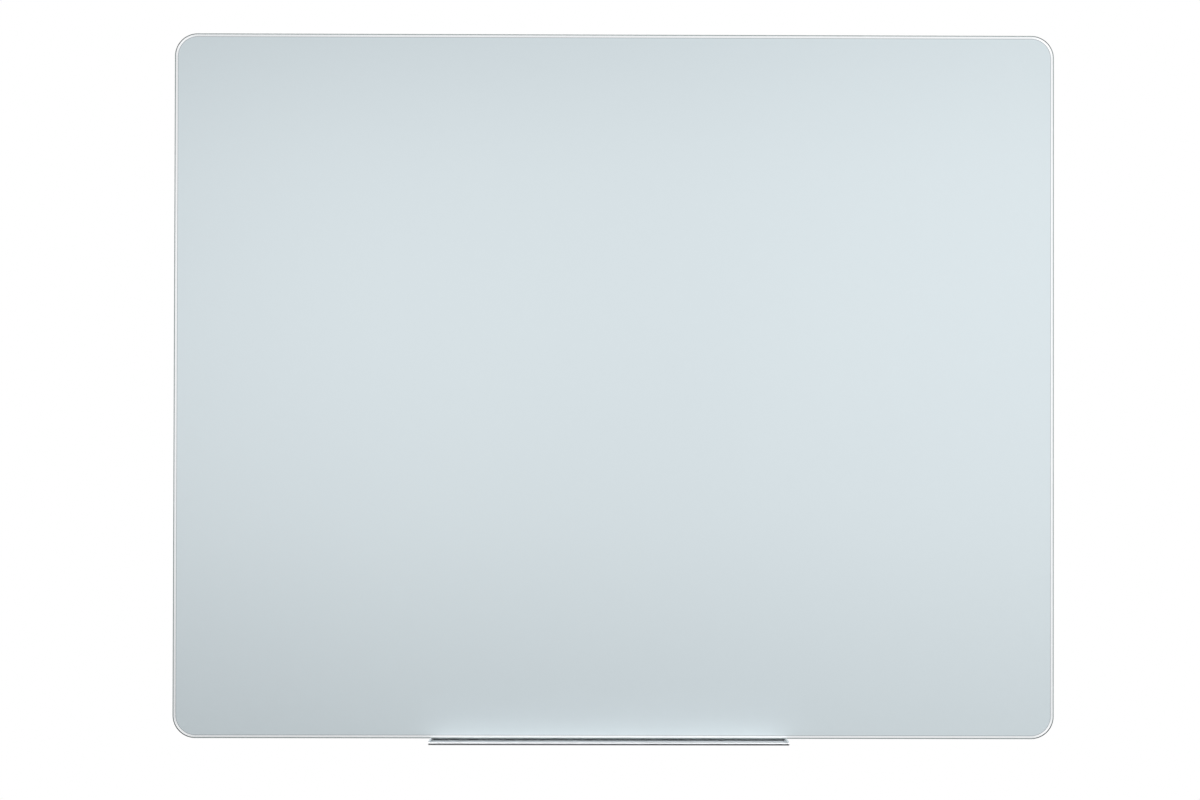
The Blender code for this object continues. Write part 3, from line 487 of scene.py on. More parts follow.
def lathed(bm, steps):  # u is the radius and v the height, which stands on Z
    bmesh.ops.spin(bm, geom=bm.verts[:] + bm.edges[:], cent=(0, 0, 0), axis=(0, 1, 0), dvec=(0, 0, 0),
                   angle=math.tau, steps=steps, use_merge=True, use_duplicate=False)
    bmesh.ops.remove_doubles(bm, verts=bm.verts[:], dist=mergeWithin["turned"])
    bmesh.ops.rotate(bm, cent=(0, 0, 0), matrix=Matrix.Rotation(math.pi / 2, 3, "X"), verts=bm.verts[:])
    bmesh.ops.recalc_face_normals(bm, faces=bm.faces[:])
    return bm


def stood(bm, base, direction):  # turns what stands on Z towards direction and moves it to base
    turn = zAxis.rotation_difference(Vector(direction)).to_matrix().to_4x4()
    bmesh.ops.transform(bm, matrix=Matrix.Translation(base) @ turn, verts=bm.verts[:])
    return bm


def rod(base, direction, radius, length, steps=32):  # a plain round bar from base
    bm = bmesh.new()
    bmesh.ops.create_cone(bm, cap_ends=True, segments=steps, radius1=radius, radius2=radius, depth=length,
                          matrix=Matrix.Translation((0, 0, length / 2)))
    return stood(bm, base, direction)


def carved(bm, tools):  # takes each tool's shape out of bm
    def passing(shape):
        mesh = bpy.data.meshes.new("passing")
        shape.to_mesh(mesh)
        shape.free()
        thing = bpy.data.objects.new("passing", mesh)
        bpy.context.scene.collection.objects.link(thing)
        return thing

    body = passing(bm)
    cutter = passing(joined(*tools))
    cut = body.modifiers.new("cut", "BOOLEAN")
    cut.operation = "DIFFERENCE"
    cut.solver = "EXACT"
    cut.object = cutter
    result = bmesh.new()
    result.from_object(body, bpy.context.evaluated_depsgraph_get())
    for thing in (body, cutter):
        bpy.data.meshes.remove(thing.data)
    bmesh.ops.remove_doubles(result, verts=result.verts[:], dist=mergeWithin["carved"])
    return result


def bevel(bm, edges, width, steps=2):
    bmesh.ops.bevel(bm, geom=edges, offset=width, offset_type="OFFSET", segments=steps, profile=0.5,
                    affect="EDGES", clamp_overlap=True, material=-1)


def sharpEdges(bm, degrees=40):
    return [e for e in bm.edges if e.calc_face_angle(0) > math.radians(degrees)]


def easedCopy(name, width, steps=2):  # a merged copy of a node with its edges broken
    bm = bmesh.new()
    bm.from_mesh(nodes[name].data)
    bmesh.ops.remove_doubles(bm, verts=bm.verts[:], dist=mergeWithin["copied"])
    bmesh.ops.dissolve_limit(bm, angle_limit=math.radians(flatWithin), verts=bm.verts[:], edges=bm.edges[:])
    bevel(bm, sharpEdges(bm), width, steps)
    bmesh.ops.recalc_face_normals(bm, faces=bm.faces[:])
    return bm


def middleOf(name, **place):  # the middle of a node's box, moved to the x, y or z that is given
    low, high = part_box(name)
    middle = (low + high) / 2
    for axis, value in place.items():
        setattr(middle, axis, value)
    return middle


def addPiece(bm, name, body, looks, replaced, sharp=32):  # sharp in degrees
    mesh = bpy.data.meshes.new(name)
    bm.to_mesh(mesh)
    bm.free()
    for look in looks:
        mesh.materials.append(finishes[look])
    mesh.shade_smooth()
    mesh.set_sharp_from_angle(angle=math.radians(sharp))
    piece = bpy.data.objects.new(name, mesh)
    bpy.context.scene.collection.objects.link(piece)
    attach(piece, body)
    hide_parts(replaced)
    return piece


# Glass pane

def makePane():
    size = paneHigh - paneLow
    bm = bmesh.new()
    bmesh.ops.create_grid(bm, x_segments=1, y_segments=1, size=0.5)
    bmesh.ops.scale(bm, vec=(size.x, size.z, 1), verts=bm.verts[:])
    bmesh.ops.bevel(bm, geom=bm.verts[:], offset=pane["corner"], offset_type="OFFSET",
                    segments=pane["cornerSteps"], profile=0.5, affect="VERTICES", clamp_overlap=True,
                    material=-1)
    grown = bmesh.ops.extrude_face_region(bm, geom=bm.faces[:])
    rear = [g for g in grown["geom"] if isinstance(g, bmesh.types.BMVert)]
    bmesh.ops.translate(bm, vec=(0, 0, -size.y), verts=rear)
    front = Matrix.Translation(middleOf("glass_panel", y=paneLow.y))
    bmesh.ops.transform(bm, matrix=front @ alongY, verts=bm.verts[:])
    bmesh.ops.recalc_face_normals(bm, faces=bm.faces[:])
    bevel(bm, sharpEdges(bm, pane["arrisFrom"]), pane["arris"], pane["arrisSteps"])
    looks = ["whiteGlass", "groundGlass", "litMargin", "filmEdgeShade"]
    flats = [f for f in bm.faces if abs(f.normal.y) > 0.999]  # the front and the rear
    for face in bm.faces:
        face.material_index = looks.index("litMargin" if face in flats else "groundGlass")
    inner = min(flats, key=lambda f: f.calc_center_median().y)
    # the margin ring takes the painted highlight, and the film border the thin line of painted shade
    rings = {"litMargin": pane["clearMargin"] - pane["arris"], "filmEdgeShade": pane["filmBorder"]}
    for look, width in rings.items():
        ring = bmesh.ops.inset_region(bm, faces=[inner], thickness=width, use_even_offset=True)["faces"]
        for face in ring:
            face.material_index = looks.index(look)
    inner.material_index = looks.index("whiteGlass")
    piece = addPiece(bm, "glassPane", "board", looks, "glass_panel", sharp=40)
    for polygon in piece.data.polygons:
        if polygon.material_index != looks.index("groundGlass"):
            polygon.use_smooth = False


makePane()
nodes["white_backing_film"].data.materials[0] = finishes["film"]
nodes["steel_backing_sheet"].data.materials[0] = finishes["zincSheet"]
print("glass made")


# Screws, washers, plugs and bumpers: turned, with the head on top until they are stood in place

screws = {
    "connector": {
        "head": 0.0034, "headHeight": 0.0018, "dome": 0.0010, "core": 0.00115, "crest": 0.0015,
        "pitch": 0.0011, "tip": (0.0002, 0.0018), "plain": 0.0008, "drive": "cross", "driveDepth": 0.0012,
    },
    "wall": {
        "head": 0.0043, "headHeight": 0.0028, "dome": 0.0017, "core": 0.0016, "crest": 0.0022,
        "pitch": 0.0022, "tip": (0.0002, 0.0040), "plain": 0.0090, "drive": "cross", "driveDepth": 0.0019,
    },
    "clamp": {
        "head": 0.0035, "headHeight": 0.0024, "dome": 0.0010, "core": 0.0017, "crest": 0.0020,
        "pitch": 0.0007, "tip": (0.0012, 0.0005), "plain": 0.0008, "drive": "hex", "driveDepth": 0.0014,
    },
    "level": {
        "head": 0.0035, "headHeight": 0.0040, "dome": 0.0005, "core": 0.0017, "crest": 0.0020,
        "pitch": 0.0007, "collar": 0.0020, "plain": 0.0015, "drive": "hex", "driveDepth": 0.0022,
    },
}
drives = {"cross": {"reach": 0.0017, "wing": 0.0008, "waist": 1.5}, "hex": {"across": 0.0030}}
screwEdge = 0.0002
screwSteps = {"round": 40, "edge": 3, "dome": 8}
driveTaper = 0.8
ridge = {"root": 0.8, "sink": 0.98, "rootHalf": 0.4, "crestHalf": 0.06, "steps": 24}  # of core and pitch


def driveMouth(kind):  # outline of a driver's recess
    drive = drives[kind]
    if kind == "hex":
        return ringAt(0, 0, drive["across"] / 2 / math.cos(math.pi / 6), 6)
    reach = drive["reach"]
    wing = drive["wing"] / 2
    waist = wing * drive["waist"]
    corners = []
    for quarter in range(4):
        turn = Matrix.Rotation(math.radians(90 * quarter), 2)
        for point in ((reach, -wing), (reach, wing), (waist, waist)):
            corners.append((*(turn @ Vector(point)), 0))
    return outlined(corners)


def sunk(bm, mouth, depth):  # closes an open top with a flat face that has a driver's recess
    top = max(v.co.z for v in bm.verts)
    bmesh.ops.translate(mouth, vec=(0, 0, top), verts=mouth.verts[:])
    bm = joined(bm, mouth)
    brim = [e for e in bm.edges if e.is_wire]
    bmesh.ops.triangle_fill(bm, use_beauty=True, edges=brim + [e for e in bm.edges if e.is_boundary])
    grown = bmesh.ops.extrude_edge_only(bm, edges=brim)["geom"]
    deep = [g for g in grown if isinstance(g, bmesh.types.BMVert)]
    bmesh.ops.scale(bm, vec=(driveTaper, driveTaper, 1), verts=deep)
    bmesh.ops.translate(bm, vec=(0, 0, -depth), verts=deep)
    bmesh.ops.triangle_fill(bm, use_beauty=True, edges=[e for e in bm.edges if e.is_boundary])
    bmesh.ops.recalc_face_normals(bm, faces=bm.faces[:])
    return bm


def thread(core, crest, pitch, start, end):  # a ridge that winds up the shank and runs out at both ends
    turns = (end - start) / pitch
    steps = ridge["steps"]
    sunken = core * ridge["sink"]
    pen = Pen(core * ridge["root"], start - pitch * ridge["rootHalf"])
    pen.to(crest, start - pitch * ridge["crestHalf"])
    pen.to(crest, start + pitch * ridge["crestHalf"])
    pen.to(core * ridge["root"], start + pitch * ridge["rootHalf"])
    bm = pen.close()
    bmesh.ops.spin(bm, geom=bm.verts[:] + bm.edges[:], cent=(0, 0, 0), axis=(0, 1, 0),
                   dvec=(0, pitch / steps, 0), angle=math.tau * turns, steps=round(turns * steps),
                   use_merge=False, use_duplicate=False)
    bmesh.ops.holes_fill(bm, edges=bm.edges[:], sides=4)
    bmesh.ops.rotate(bm, cent=(0, 0, 0), matrix=Matrix.Rotation(math.pi / 2, 3, "X"), verts=bm.verts[:])
    for vert in bm.verts:
        radius = vert.co.xy.length
        if radius > core:
            fade = min(1, abs(vert.co.z - start) / pitch, abs(end - vert.co.z) / pitch)
            vert.co.xy *= (sunken + (radius - sunken) * fade) / radius
    bmesh.ops.recalc_face_normals(bm, faces=bm.faces[:])
    return bm


def makeScrew(name, kind, body, headward):  # headward points from its tip to its head
    look = screws[kind]
    low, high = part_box(name)
    headward = Vector(headward)
    length = abs((high - low).dot(headward))
    seat = length - look["headHeight"]
    head = look["head"]
    core = look["core"]
    edgeSteps = screwSteps["edge"]
    pen = Pen(0, 0)
    if "collar" in look:
        threadStart = look["collar"]
        pen.bend(head, 0, screwEdge, (head, threadStart), edgeSteps)
        pen.bend(head, threadStart, screwEdge, (core, threadStart), edgeSteps)
        pen.to(core, threadStart)
    else:
        flat, threadStart = look["tip"]
        pen.to(flat, 0)
        pen.to(core, threadStart)
    pen.to(core, seat - look["plain"])
    pen.to(look["crest"], seat - look["plain"] + look["crest"] - core)
    pen.to(look["crest"], seat)
    pen.bend(head, seat, screwEdge, (head, length), edgeSteps)
    pen.bend(head, length, look["dome"], (0, length), screwSteps["dome"])
    pen.to(head - look["dome"] - screwEdge, length)
    bm = sunk(lathed(pen.bm, screwSteps["round"]), driveMouth(look["drive"]), look["driveDepth"])
    bm = joined(bm, thread(core, look["crest"], look["pitch"], threadStart, seat - look["plain"]))
    tip = (low + high) / 2 - headward * length / 2
    addPiece(stood(bm, tip, headward), name + "Turned", body, ["plated"], name, sharp=30)


washer = {"hole": 0.0025, "edge": 0.0002, "edgeSteps": 3, "steps": 64}


def makeWasher(name):
    low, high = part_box(name)
    hole = washer["hole"]
    edge = washer["edge"]
    outer = (high.x - low.x) / 2
    thick = high.y - low.y
    section = outlined([
        (hole, 0, edge), (outer, 0, edge), (outer, thick, edge), (hole, thick, edge)], washer["edgeSteps"])
    bm = stood(lathed(section, washer["steps"]), middleOf(name, y=low.y), yAxis)
    addPiece(bm, name + "Turned", "wall_mount", ["plated"], name)


plug = {
    "bore": 0.0025, "collar": 0.0020, "collarSink": 0.0004, "ring": 0.0025, "ringDepth": 0.0007,
    "rings": 11, "firstRing": 0.0090, "split": 0.0009, "splitFrom": 0.0100, "noseRadius": 0.0031,
    "steps": 48,
}


def makePlug(name):
    low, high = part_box(name)
    radius = (high.x - low.x) / 2
    length = high.y - low.y
    bore = plug["bore"]
    pen = Pen(bore, 0)
    pen.to(radius - plug["collarSink"], 0)
    pen.to(radius, plug["collarSink"])
    pen.to(radius, plug["collar"])
    pen.to(radius - plug["collarSink"], plug["collar"] + plug["collarSink"])
    for k in range(plug["rings"]):
        start = plug["firstRing"] + k * plug["ring"]
        pen.to(radius, start)
        pen.to(radius - plug["ringDepth"], start + plug["ringDepth"] / 2)
    pen.to(radius, length - plug["ring"])
    pen.to(plug["noseRadius"], length)
    pen.to(bore, length)
    base = middleOf(name, y=low.y)
    bm = stood(lathed(pen.close(), plug["steps"]), base, yAxis)
    slit = bmesh.new()
    bmesh.ops.create_cube(slit, size=1)
    bmesh.ops.scale(slit, vec=(plug["split"], length, radius * 3), verts=slit.verts[:])
    bmesh.ops.translate(slit, vec=base + yAxis * (plug["splitFrom"] + length / 2), verts=slit.verts[:])
    addPiece(carved(bm, [slit]), name + "Moulded", "wall_mount", ["nylon"], name)


bumper = {
    "stem": 0.0025, "stemLength": 0.0048, "stemEdge": 0.0004, "dish": 0.0060, "dishDepth": 0.0004,
    "edge": 0.0012, "stemSteps": 4, "edgeSteps": 8, "steps": 72,
}


def makeBumper(name):
    low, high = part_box(name)
    radius = (high.x - low.x) / 2
    length = high.y - low.y
    stem = bumper["stem"]
    neck = bumper["stemLength"]
    pen = Pen(0, 0)
    pen.bend(stem, 0, bumper["stemEdge"], (stem, neck), bumper["stemSteps"])
    pen.to(stem, neck)
    pen.bend(radius, neck, bumper["stemEdge"], (radius, length), bumper["stemSteps"])
    pen.bend(radius, length, bumper["edge"], (0, length), bumper["edgeSteps"])
    pen.to(bumper["dish"], length)
    pen.to(bumper["dish"] - bumper["dishDepth"], length - bumper["dishDepth"])
    pen.to(0, length - bumper["dishDepth"])
    bm = stood(lathed(pen.bm, bumper["steps"]), middleOf(name, y=low.y), yAxis)
    addPiece(bm, name + "Moulded", "board", ["rubber"], name)


def makeFixings():
    for name in nodes:
        if name.endswith(("across_screw", "upright_screw")):
            makeScrew(name, "connector", "board", yAxis)
        elif name.endswith(("inner_screw", "outer_screw")):
            makeScrew(name, "connector", "board", -zAxis)
        elif name.endswith("clamp_screw"):
            makeScrew(name, "clamp", "pen_tray_assembly", -zAxis)
        elif name.endswith("levelling_screw"):
            makeScrew(name, "level", name.split("_")[0] + "_level_screw", zAxis)
        elif name.startswith("wall_screw"):
            makeScrew(name, "wall", "wall_mount", -yAxis)
        elif name.startswith("wall_washer"):
            makeWasher(name)
        elif name.startswith("wall_plug"):
            makePlug(name)
        elif name.endswith("wall_bumper"):
            makeBumper(name)


makeFixings()
print("fixings made")


# Rear frame: slotted box extrusion, moulded corners and the stiffener

rail = {
    "wall": 0.0016, "slotMouth": 0.0030, "slotInner": 0.0054, "slotDepth": 0.0050,
    "edge": 0.0008, "inside": 0.0002, "screwHole": 0.0018, "driverHole": 0.0025, "holeOverrun": 0.0010,
}
connector = {"ease": 0.0004}
railLow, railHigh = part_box("frame_top_rail")
railDepth = railHigh.y - railLow.y


def railOutlines(height):  # u across the depth, v inwards from the slotted face
    half = railDepth / 2
    wall = rail["wall"]
    mouth = rail["slotMouth"]
    inner = rail["slotInner"]
    deep = rail["slotDepth"]
    edge = rail["edge"]
    fine = rail["inside"]
    shell = outlined([
        (-half, 0, edge), (-mouth, 0, fine), (-mouth, wall, fine), (-inner, wall, fine), (-inner, deep, fine),
        (inner, deep, fine), (inner, wall, fine), (mouth, wall, fine), (mouth, 0, fine), (half, 0, edge),
        (half, height, edge), (-half, height, edge)])
    near = deep + wall
    chamber = outlined([
        (wall - half, near, fine), (half - wall, near, fine), (half - wall, height - wall, fine),
        (wall - half, height - wall, fine)])
    return shell, chamber


def connectorHoles(low, high):  # through the rear wall, for the connector screws that stand in that box
    holes = []
    reach = rail["wall"] + screws["connector"]["headHeight"] + rail["holeOverrun"] - screwEdge
    for name in nodes:
        if name.endswith(("across_screw", "upright_screw")):
            base = middleOf(name, y=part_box(name)[1].y)
            if low.x < base.x < high.x and low.z - railDepth < base.z < high.z:
                holes.append(rod(base, -yAxis, rail["screwHole"], reach))
    return holes


def makeRail(name, inwards, along):
    low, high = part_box(name)
    middle = (low + high) / 2
    size = high - low
    height = abs(size.dot(inwards))
    length = size.dot(along)
    origin = middle - inwards * height / 2 - along * length / 2
    bm = swept(placed(yAxis, inwards, along, origin), 0, length, *railOutlines(height))
    holes = connectorHoles(low, high)
    if name == "frame_top_rail":
        overrun = rail["holeOverrun"]
        below = low.z - overrun
        for side in ("left", "right"):
            for which in ("inner", "outer"):
                base = middleOf(f"{side}_hanger_{which}_screw", z=below)
                holes.append(rod(base, zAxis, rail["screwHole"], rail["wall"] + 2 * overrun))
            base = middleOf(f"{side}_levelling_screw", z=below)
            holes.append(rod(base, zAxis, rail["driverHole"], height + 2 * overrun))
    look = "millAcross" if along.x else "millUpright"
    addPiece(carved(bm, holes), name + "Extruded", "board", [look], name)


stiffener = {"thick": 0.0012, "crown": 0.0240, "flare": 0.0030, "flange": 0.0140, "bend": 0.0008}


def makeStiffener():
    low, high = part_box("centre_stiffener")
    thick = stiffener["thick"]
    crown = stiffener["crown"] / 2
    foot = crown + stiffener["flare"]
    edge = foot + stiffener["flange"]
    inner = stiffener["bend"]
    outer = inner + thick
    outline = outlined([
        (-edge, low.y, 0), (-foot + thick, low.y, outer), (-crown + thick, high.y - thick, inner),
        (crown - thick, high.y - thick, inner), (foot - thick, low.y, outer), (edge, low.y, 0),
        (edge, low.y + thick, 0), (foot, low.y + thick, inner), (crown, high.y, outer),
        (-crown, high.y, outer), (-foot, low.y + thick, inner), (-edge, low.y + thick, 0)])
    bm = swept(alongZ, low.z, high.z, outline)
    addPiece(bm, "stiffenerFolded", "board", ["zincStrip"], "centre_stiffener")


def makeFrame():
    makeRail("frame_top_rail", -zAxis, xAxis)
    makeRail("frame_bottom_rail", zAxis, xAxis)
    makeRail("frame_left_stile", xAxis, zAxis)
    makeRail("frame_right_stile", -xAxis, zAxis)
    makeStiffener()
    for name in [n for n in nodes if n.endswith("corner")]:
        bm = easedCopy(name, connector["ease"])
        addPiece(bm, name + "Moulded", "board", ["connector"], name)


makeFrame()
print("frame made")


# Hanging: blocks and hooks on the board, rail on the wall

wallRail = {
    "thick": 0.0018, "flange": 0.0300, "edge": 0.0004, "inner": 0.0008, "lipRound": 0.0008,
    "slotWidth": 0.0066, "slotLength": 0.0120, "slotRound": 0.98, "slotSteps": 10,
}
hanger = {"blockEase": 0.00035, "hookEase": 0.00030, "hookSteps": 3}


def makeWallRail():
    low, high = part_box("wall_rail")
    thick = wallRail["thick"]
    half = wallRail["flange"] / 2
    edge = wallRail["edge"]
    inner = wallRail["inner"]
    lip = wallRail["lipRound"]
    front = low.y
    section = outlined([
        (0, -half, edge), (0, half, edge), (front + thick, half, inner), (front + thick, high.z, lip),
        (front, high.z, lip), (front, half - thick, edge), (-thick, half - thick, inner),
        (-thick, -half + thick, inner), (front, -half + thick, edge), (front, -half, edge)])
    slots = []
    across = wallRail["slotLength"] / 2
    tall = wallRail["slotWidth"] / 2
    bend = tall * wallRail["slotRound"]
    for name in [n for n in nodes if n.startswith("wall_screw")]:
        screwLow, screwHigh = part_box(name)
        x = (screwLow.x + screwHigh.x) / 2
        mouth = outlined([
            (x - across, -tall, bend), (x + across, -tall, bend), (x + across, tall, bend),
            (x - across, tall, bend)], wallRail["slotSteps"])
        slots.append(swept(alongY, -thick, thick * 2, mouth))
    bm = carved(swept(alongX, low.x, high.x, section), slots)
    addPiece(bm, "wallRailExtruded", "wall_mount", ["millAcross"], "wall_rail")


def makeHangers():
    for side in ("left", "right"):
        block = f"{side}_hanger_block"
        hook = f"{side}_hanging_hook"
        bm = easedCopy(block, hanger["blockEase"])
        addPiece(bm, block + "Cast", "board", ["cast"], block)
        bm = easedCopy(hook, hanger["hookEase"], hanger["hookSteps"])
        addPiece(bm, hook + "Formed", f"{side}_hook", ["plated"], hook)


makeWallRail()
makeHangers()
print("hanging parts made")


# Pen tray

tray = {
    "thick": 0.0020, "beadRadius": 0.0030, "beadBore": 0.0014, "cove": 0.0015, "beadSteps": 40,
    "innerRadius": 0.0030, "outerRadius": 0.0020, "flangeRadius": 0.0006, "cutEdge": 0.0003,
    "portRadius": 0.0026, "portBore": 0.0012, "portHeight": 0.0045, "portSetIn": 0.0006,
    "uprightFront": -0.0170, "clampHole": 0.0023, "bendSteps": 8, "innerSteps": 10, "flangeSteps": 4,
    "portSteps": 20, "cutSteps": 3,
}
cap = {
    "thick": 0.0030, "edge": 0.0006, "stepAhead": 0.0025, "stepClear": 0.0010, "backRise": 0.0035,
    "pegPlay": 0.0003, "rimSteps": 4, "rimFrom": 45,
}
slotNut = {"ease": 0.0002}
trayLow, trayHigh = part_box("pen_tray")
trayFloor = trayLow.z + tray["thick"]
beadCentre = (trayLow.y + tray["beadRadius"], trayLow.z + tray["beadRadius"])
uprightRear = tray["uprightFront"] + tray["thick"]
portCentre = (uprightRear + tray["portSetIn"], trayFloor + tray["portHeight"])


def makeTray():
    reach = tray["beadRadius"] + tray["cove"]
    rise = trayFloor + tray["cove"] - beadCentre[1]
    meet = math.degrees(math.asin(rise / reach))
    coveCentre = (beadCentre[0] + math.sqrt(reach ** 2 - rise ** 2), trayFloor + tray["cove"])
    swell = math.degrees(math.acos(tray["portSetIn"] / tray["portRadius"]))
    half = math.sqrt(tray["portRadius"] ** 2 - tray["portSetIn"] ** 2)
    under = trayHigh.z - tray["thick"]
    front = tray["uprightFront"]
    cut = tray["cutEdge"]
    pen = Pen(front, trayHigh.z - cut)
    pen.bend(front, trayFloor, tray["innerRadius"], (coveCentre[0], trayFloor), tray["innerSteps"])
    pen.to(coveCentre[0], trayFloor)
    pen.turn(*coveCentre, meet - 90, tray["bendSteps"])
    pen.turn(*beadCentre, 270 - meet, tray["beadSteps"])
    pen.bend(uprightRear, trayLow.z, tray["outerRadius"], (uprightRear, under), tray["bendSteps"])
    pen.to(uprightRear, portCentre[1] - half)
    pen.turn(*portCentre, 360 - 2 * swell, tray["portSteps"])
    pen.bend(uprightRear, under, tray["flangeRadius"], (trayHigh.y, under), tray["flangeSteps"])
    pen.bend(trayHigh.y, under, cut, trayHigh.yz, tray["cutSteps"])
    pen.bend(*trayHigh.yz, cut, (front, trayHigh.z), tray["cutSteps"])
    pen.to(front + cut, trayHigh.z)
    bores = (ringAt(*beadCentre, tray["beadBore"]), ringAt(*portCentre, tray["portBore"]))
    bm = swept(alongX, trayLow.x, trayHigh.x, pen.close(), *bores)
    holes = []
    for side in ("left", "right"):
        base = middleOf(f"{side}_tray_clamp_screw", z=under - tray["thick"] / 2)
        holes.append(rod(base, zAxis, tray["clampHole"], 2 * tray["thick"]))
    bm = carved(bm, holes)
    addPiece(bm, "penTray", "pen_tray_assembly", ["anodised"], "pen_tray", sharp=28)


def makeTrayCap(side, sign):  # sign is -1 at the left and 1 at the right
    name = f"{side}_tray_cap"
    low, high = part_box(name)
    outer = high.x if sign > 0 else low.x
    inner = outer - sign * cap["thick"]
    edge = cap["edge"]
    lip = beadCentre[1] + tray["beadRadius"]
    step = paneLow.y - cap["stepAhead"]
    under = paneLow.z - cap["stepClear"]
    rise = tray["uprightFront"] - edge
    back = portCentre[0] + tray["portRadius"]
    top = portCentre[1] + cap["backRise"]
    pen = Pen(beadCentre[0], lip)
    pen.turn(*beadCentre, 180, tray["beadSteps"])
    pen.bend(back, trayLow.z, tray["outerRadius"], (back, top), tray["bendSteps"])
    pen.bend(back, top, edge, (rise, top))
    pen.bend(rise, top, edge, (rise, under))
    pen.bend(rise, under, edge, (step, under))
    pen.bend(step + cap["stepClear"], under, edge, (step, lip))
    pen.bend(step, lip, edge, (beadCentre[0], lip))
    bm = swept(alongX, min(inner, outer), max(inner, outer), pen.close())
    sharp = sharpEdges(bm, cap["rimFrom"])
    rims = [e for e in sharp if all(abs(v.co.x - outer) < edge / 10 for v in e.verts)]  # at its outer end
    bevel(bm, rims, edge, cap["rimSteps"])
    for centre, bore in ((beadCentre, tray["beadBore"]), (portCentre, tray["portBore"])):
        reach = high.x - low.x - cap["thick"] / 2
        peg = rod((outer - sign * cap["thick"] / 2, *centre), -xAxis * sign, bore - cap["pegPlay"], reach)
        bm = joined(bm, peg)
    addPiece(bm, name + "Moulded", "pen_tray_assembly", ["trayCap"], name)


makeTray()
makeTrayCap("left", -1)
makeTrayCap("right", 1)
for side in ("left", "right"):
    nut = f"{side}_slot_nut"
    eased = easedCopy(nut, slotNut["ease"])
    addPiece(eased, nut + "Milled", "pen_tray_assembly", ["plated"], nut)
print("tray made")


# Studio

studio = {
    "ambient": 0.268,
    "ambientTint": (0.975, 1.0, 1.035, 1),
    "white": 1.0,
    "brightest": 3.0,
    # brightness that gloss sees, by elevation in degrees: in front of the board, and behind it
    "front": (
        (-90, 0.10), (-60, 0.08), (-40, 0.03), (-12, 0.03), (-7, 0.08), (-2, 1.0),
        (5.5, 1.0), (9, 0.1), (14, 0.2), (22, 2.7), (50, 2.7), (60, 0.3), (90, 0.1)),
    "behind": (
        (-90, 0.08), (-65, 0.16), (-38, 0.62), (-12, 0.78), (5, 0.82), (25, 0.86),
        (40, 1.15), (60, 1.15), (90, 0.7)),
    "crossing": 3.0,
}
floor = {
    "level": -2.15, "radius": 3.4, "steps": 96, "fade": 1.6, "goneAt": 0.995, "roughness": 0.8,
    "glow": 0.30, "speckle": 12,
    "light": tone(240, 240, 239), "dark": tone(234, 234, 233),
}
lamps = {
    "frontRight": {"place": (0.92, -1.97, -0.24), "aim": (0.92, 0, -0.24), "size": 1.2, "watts": 28.5},
    "frontLeft": {"place": (-0.74, -0.95, -0.35), "aim": (-0.74, 0, -0.35), "size": 1.0, "watts": 4},
    "rear": {"place": (-1.1, 2.3, 2.5), "aim": (0, -0.4, -1.0), "size": 2.2, "watts": 75},
}


def makeWorld():
    world = bpy.data.worlds.new("studio")
    world.use_nodes = True
    world.cycles.sampling_method = "NONE"  # each ray sees the level of its own kind
    bpy.context.scene.world = world
    world.node_tree.nodes.clear()
    graph = Graph(world.node_tree)
    direction = graph.node("TexCoord", {}, {}, "Generated")
    height = graph.node("SeparateXYZ", {}, {0: direction}, 2)
    brightest = studio["brightest"]

    def levels(side):
        stops = [((1 + math.sin(math.radians(a))) / 2, level / brightest) for a, level in studio[side]]
        return graph.node("ValToRGB", {"stops": stops}, {0: height * 0.5 + 0.5})  # -1 to 1 as 0 to 1

    rearward = graph.node("SeparateXYZ", {}, {0: direction}, 1)
    mirrored = graph.blend(rearward * studio["crossing"] + 0.5, levels("front"), levels("behind"))

    def path(name):
        return graph.node("LightPath", {}, {}, name)

    seen = path("Is Camera Ray") + path("Is Transmission Ray")
    plain = graph.node("Background", {}, {"Color": studio["ambientTint"], "Strength": studio["ambient"]})
    shown = graph.node("Background", {}, {"Color": white, "Strength": studio["white"]})
    gloss = graph.node("Background", {}, {"Color": mirrored, "Strength": brightest})
    lit = graph.node("MixShader", {}, {0: path("Is Glossy Ray"), 1: plain, 2: gloss})
    whole = graph.node("MixShader", {}, {0: seen > 0.5, 1: lit, 2: shown})
    graph.feed(graph.tree.nodes.new("ShaderNodeOutputWorld").inputs["Surface"], whole)


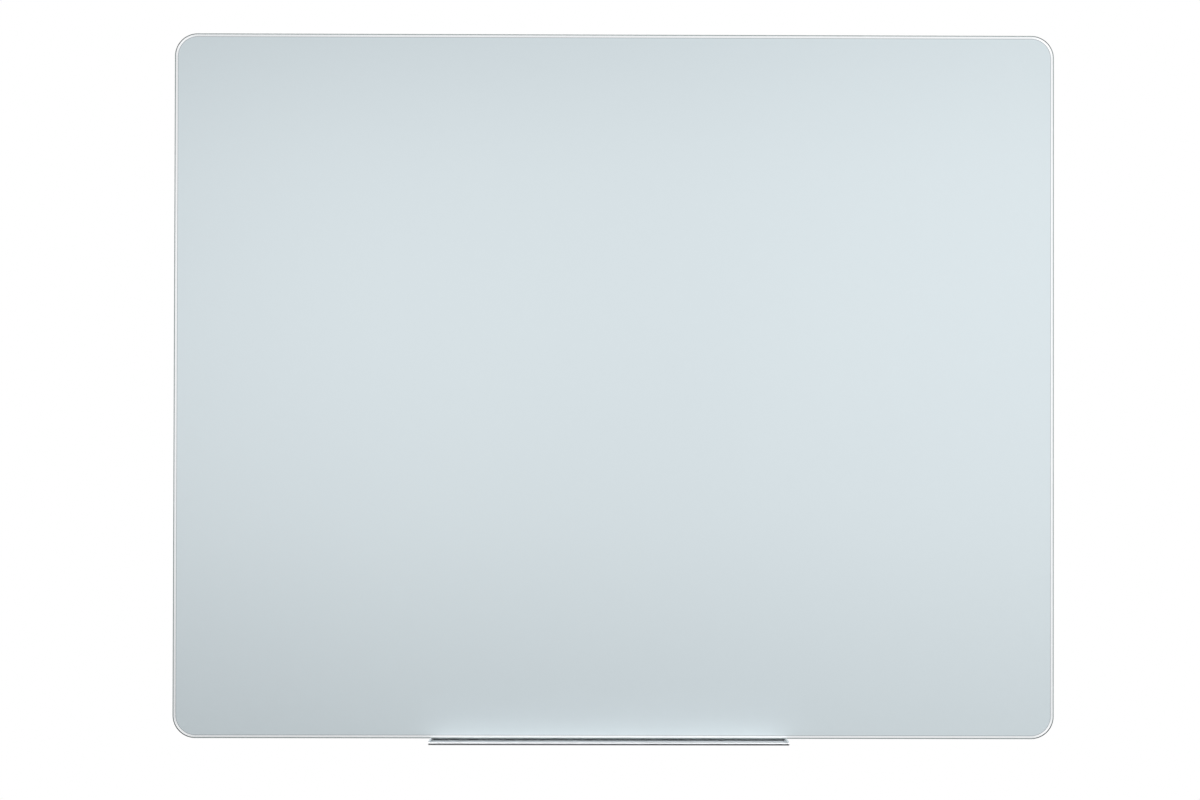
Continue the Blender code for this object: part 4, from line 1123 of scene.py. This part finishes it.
def makeFloor():  # pale and plain: it thins out into the white of the studio
    bm = bmesh.new()
    bmesh.ops.create_circle(bm, cap_ends=True, segments=floor["steps"], radius=floor["radius"])
    bmesh.ops.translate(bm, vec=(0, 0, floor["level"]), verts=bm.verts[:])
    mesh = bpy.data.meshes.new("studioFloor")
    bm.to_mesh(mesh)
    bm.free()
    finish = Finish("paleFloor", {"Roughness": floor["roughness"], "Emission Strength": floor["glow"]})
    speckle = finish.noise(floor["speckle"], detail=4, roughness=0.6)
    finish.set("Base Color", finish.blend(speckle, floor["dark"], floor["light"]))
    seen = finish.node("LightPath", {}, {}, "Is Camera Ray")
    finish.set("Emission Color", finish.blend(seen, black, white))
    where = finish.node("TexCoord", {}, {}, "Object")
    level = finish.node("VectorMath", {"operation": "MULTIPLY"}, {0: where, 1: (1, 1, 0)})
    away = finish.node("VectorMath", {"operation": "LENGTH"}, {0: level}, "Value")
    fade = finish.node("MapRange", {"interpolation_type": "SMOOTHSTEP"}, {
        "Value": away, "From Min": floor["radius"] - floor["fade"],
        "From Max": floor["radius"] * floor["goneAt"]})
    output = finish.tree.nodes["Material Output"]
    clear = finish.node("BsdfTransparent", {}, {})
    solid = Wire(finish, finish.shader.outputs[0])
    finish.feed(output.inputs["Surface"], finish.node("MixShader", {}, {0: fade, 1: solid, 2: clear}))
    mesh.materials.append(finish.material)
    ground = bpy.data.objects.new("studioFloor", mesh)
    ground.visible_glossy = False
    bpy.context.scene.collection.objects.link(ground)


def makeLamps():
    for name, lamp in lamps.items():
        data = bpy.data.lights.new(name, "AREA")
        data.shape = "SQUARE"
        data.size = lamp["size"]
        data.energy = lamp["watts"]
        light = bpy.data.objects.new(name, data)
        light.location = lamp["place"]
        aim = Vector(lamp["aim"]) - Vector(lamp["place"])
        light.rotation_euler = aim.to_track_quat("-Z", "Y").to_euler()
        light.visible_camera = False
        light.visible_transmission = False
        light.visible_glossy = False
        bpy.context.scene.collection.objects.link(light)


makeWorld()
makeFloor()
makeLamps()
bpy.context.scene.view_settings.view_transform = "Standard"
print("studio lit")
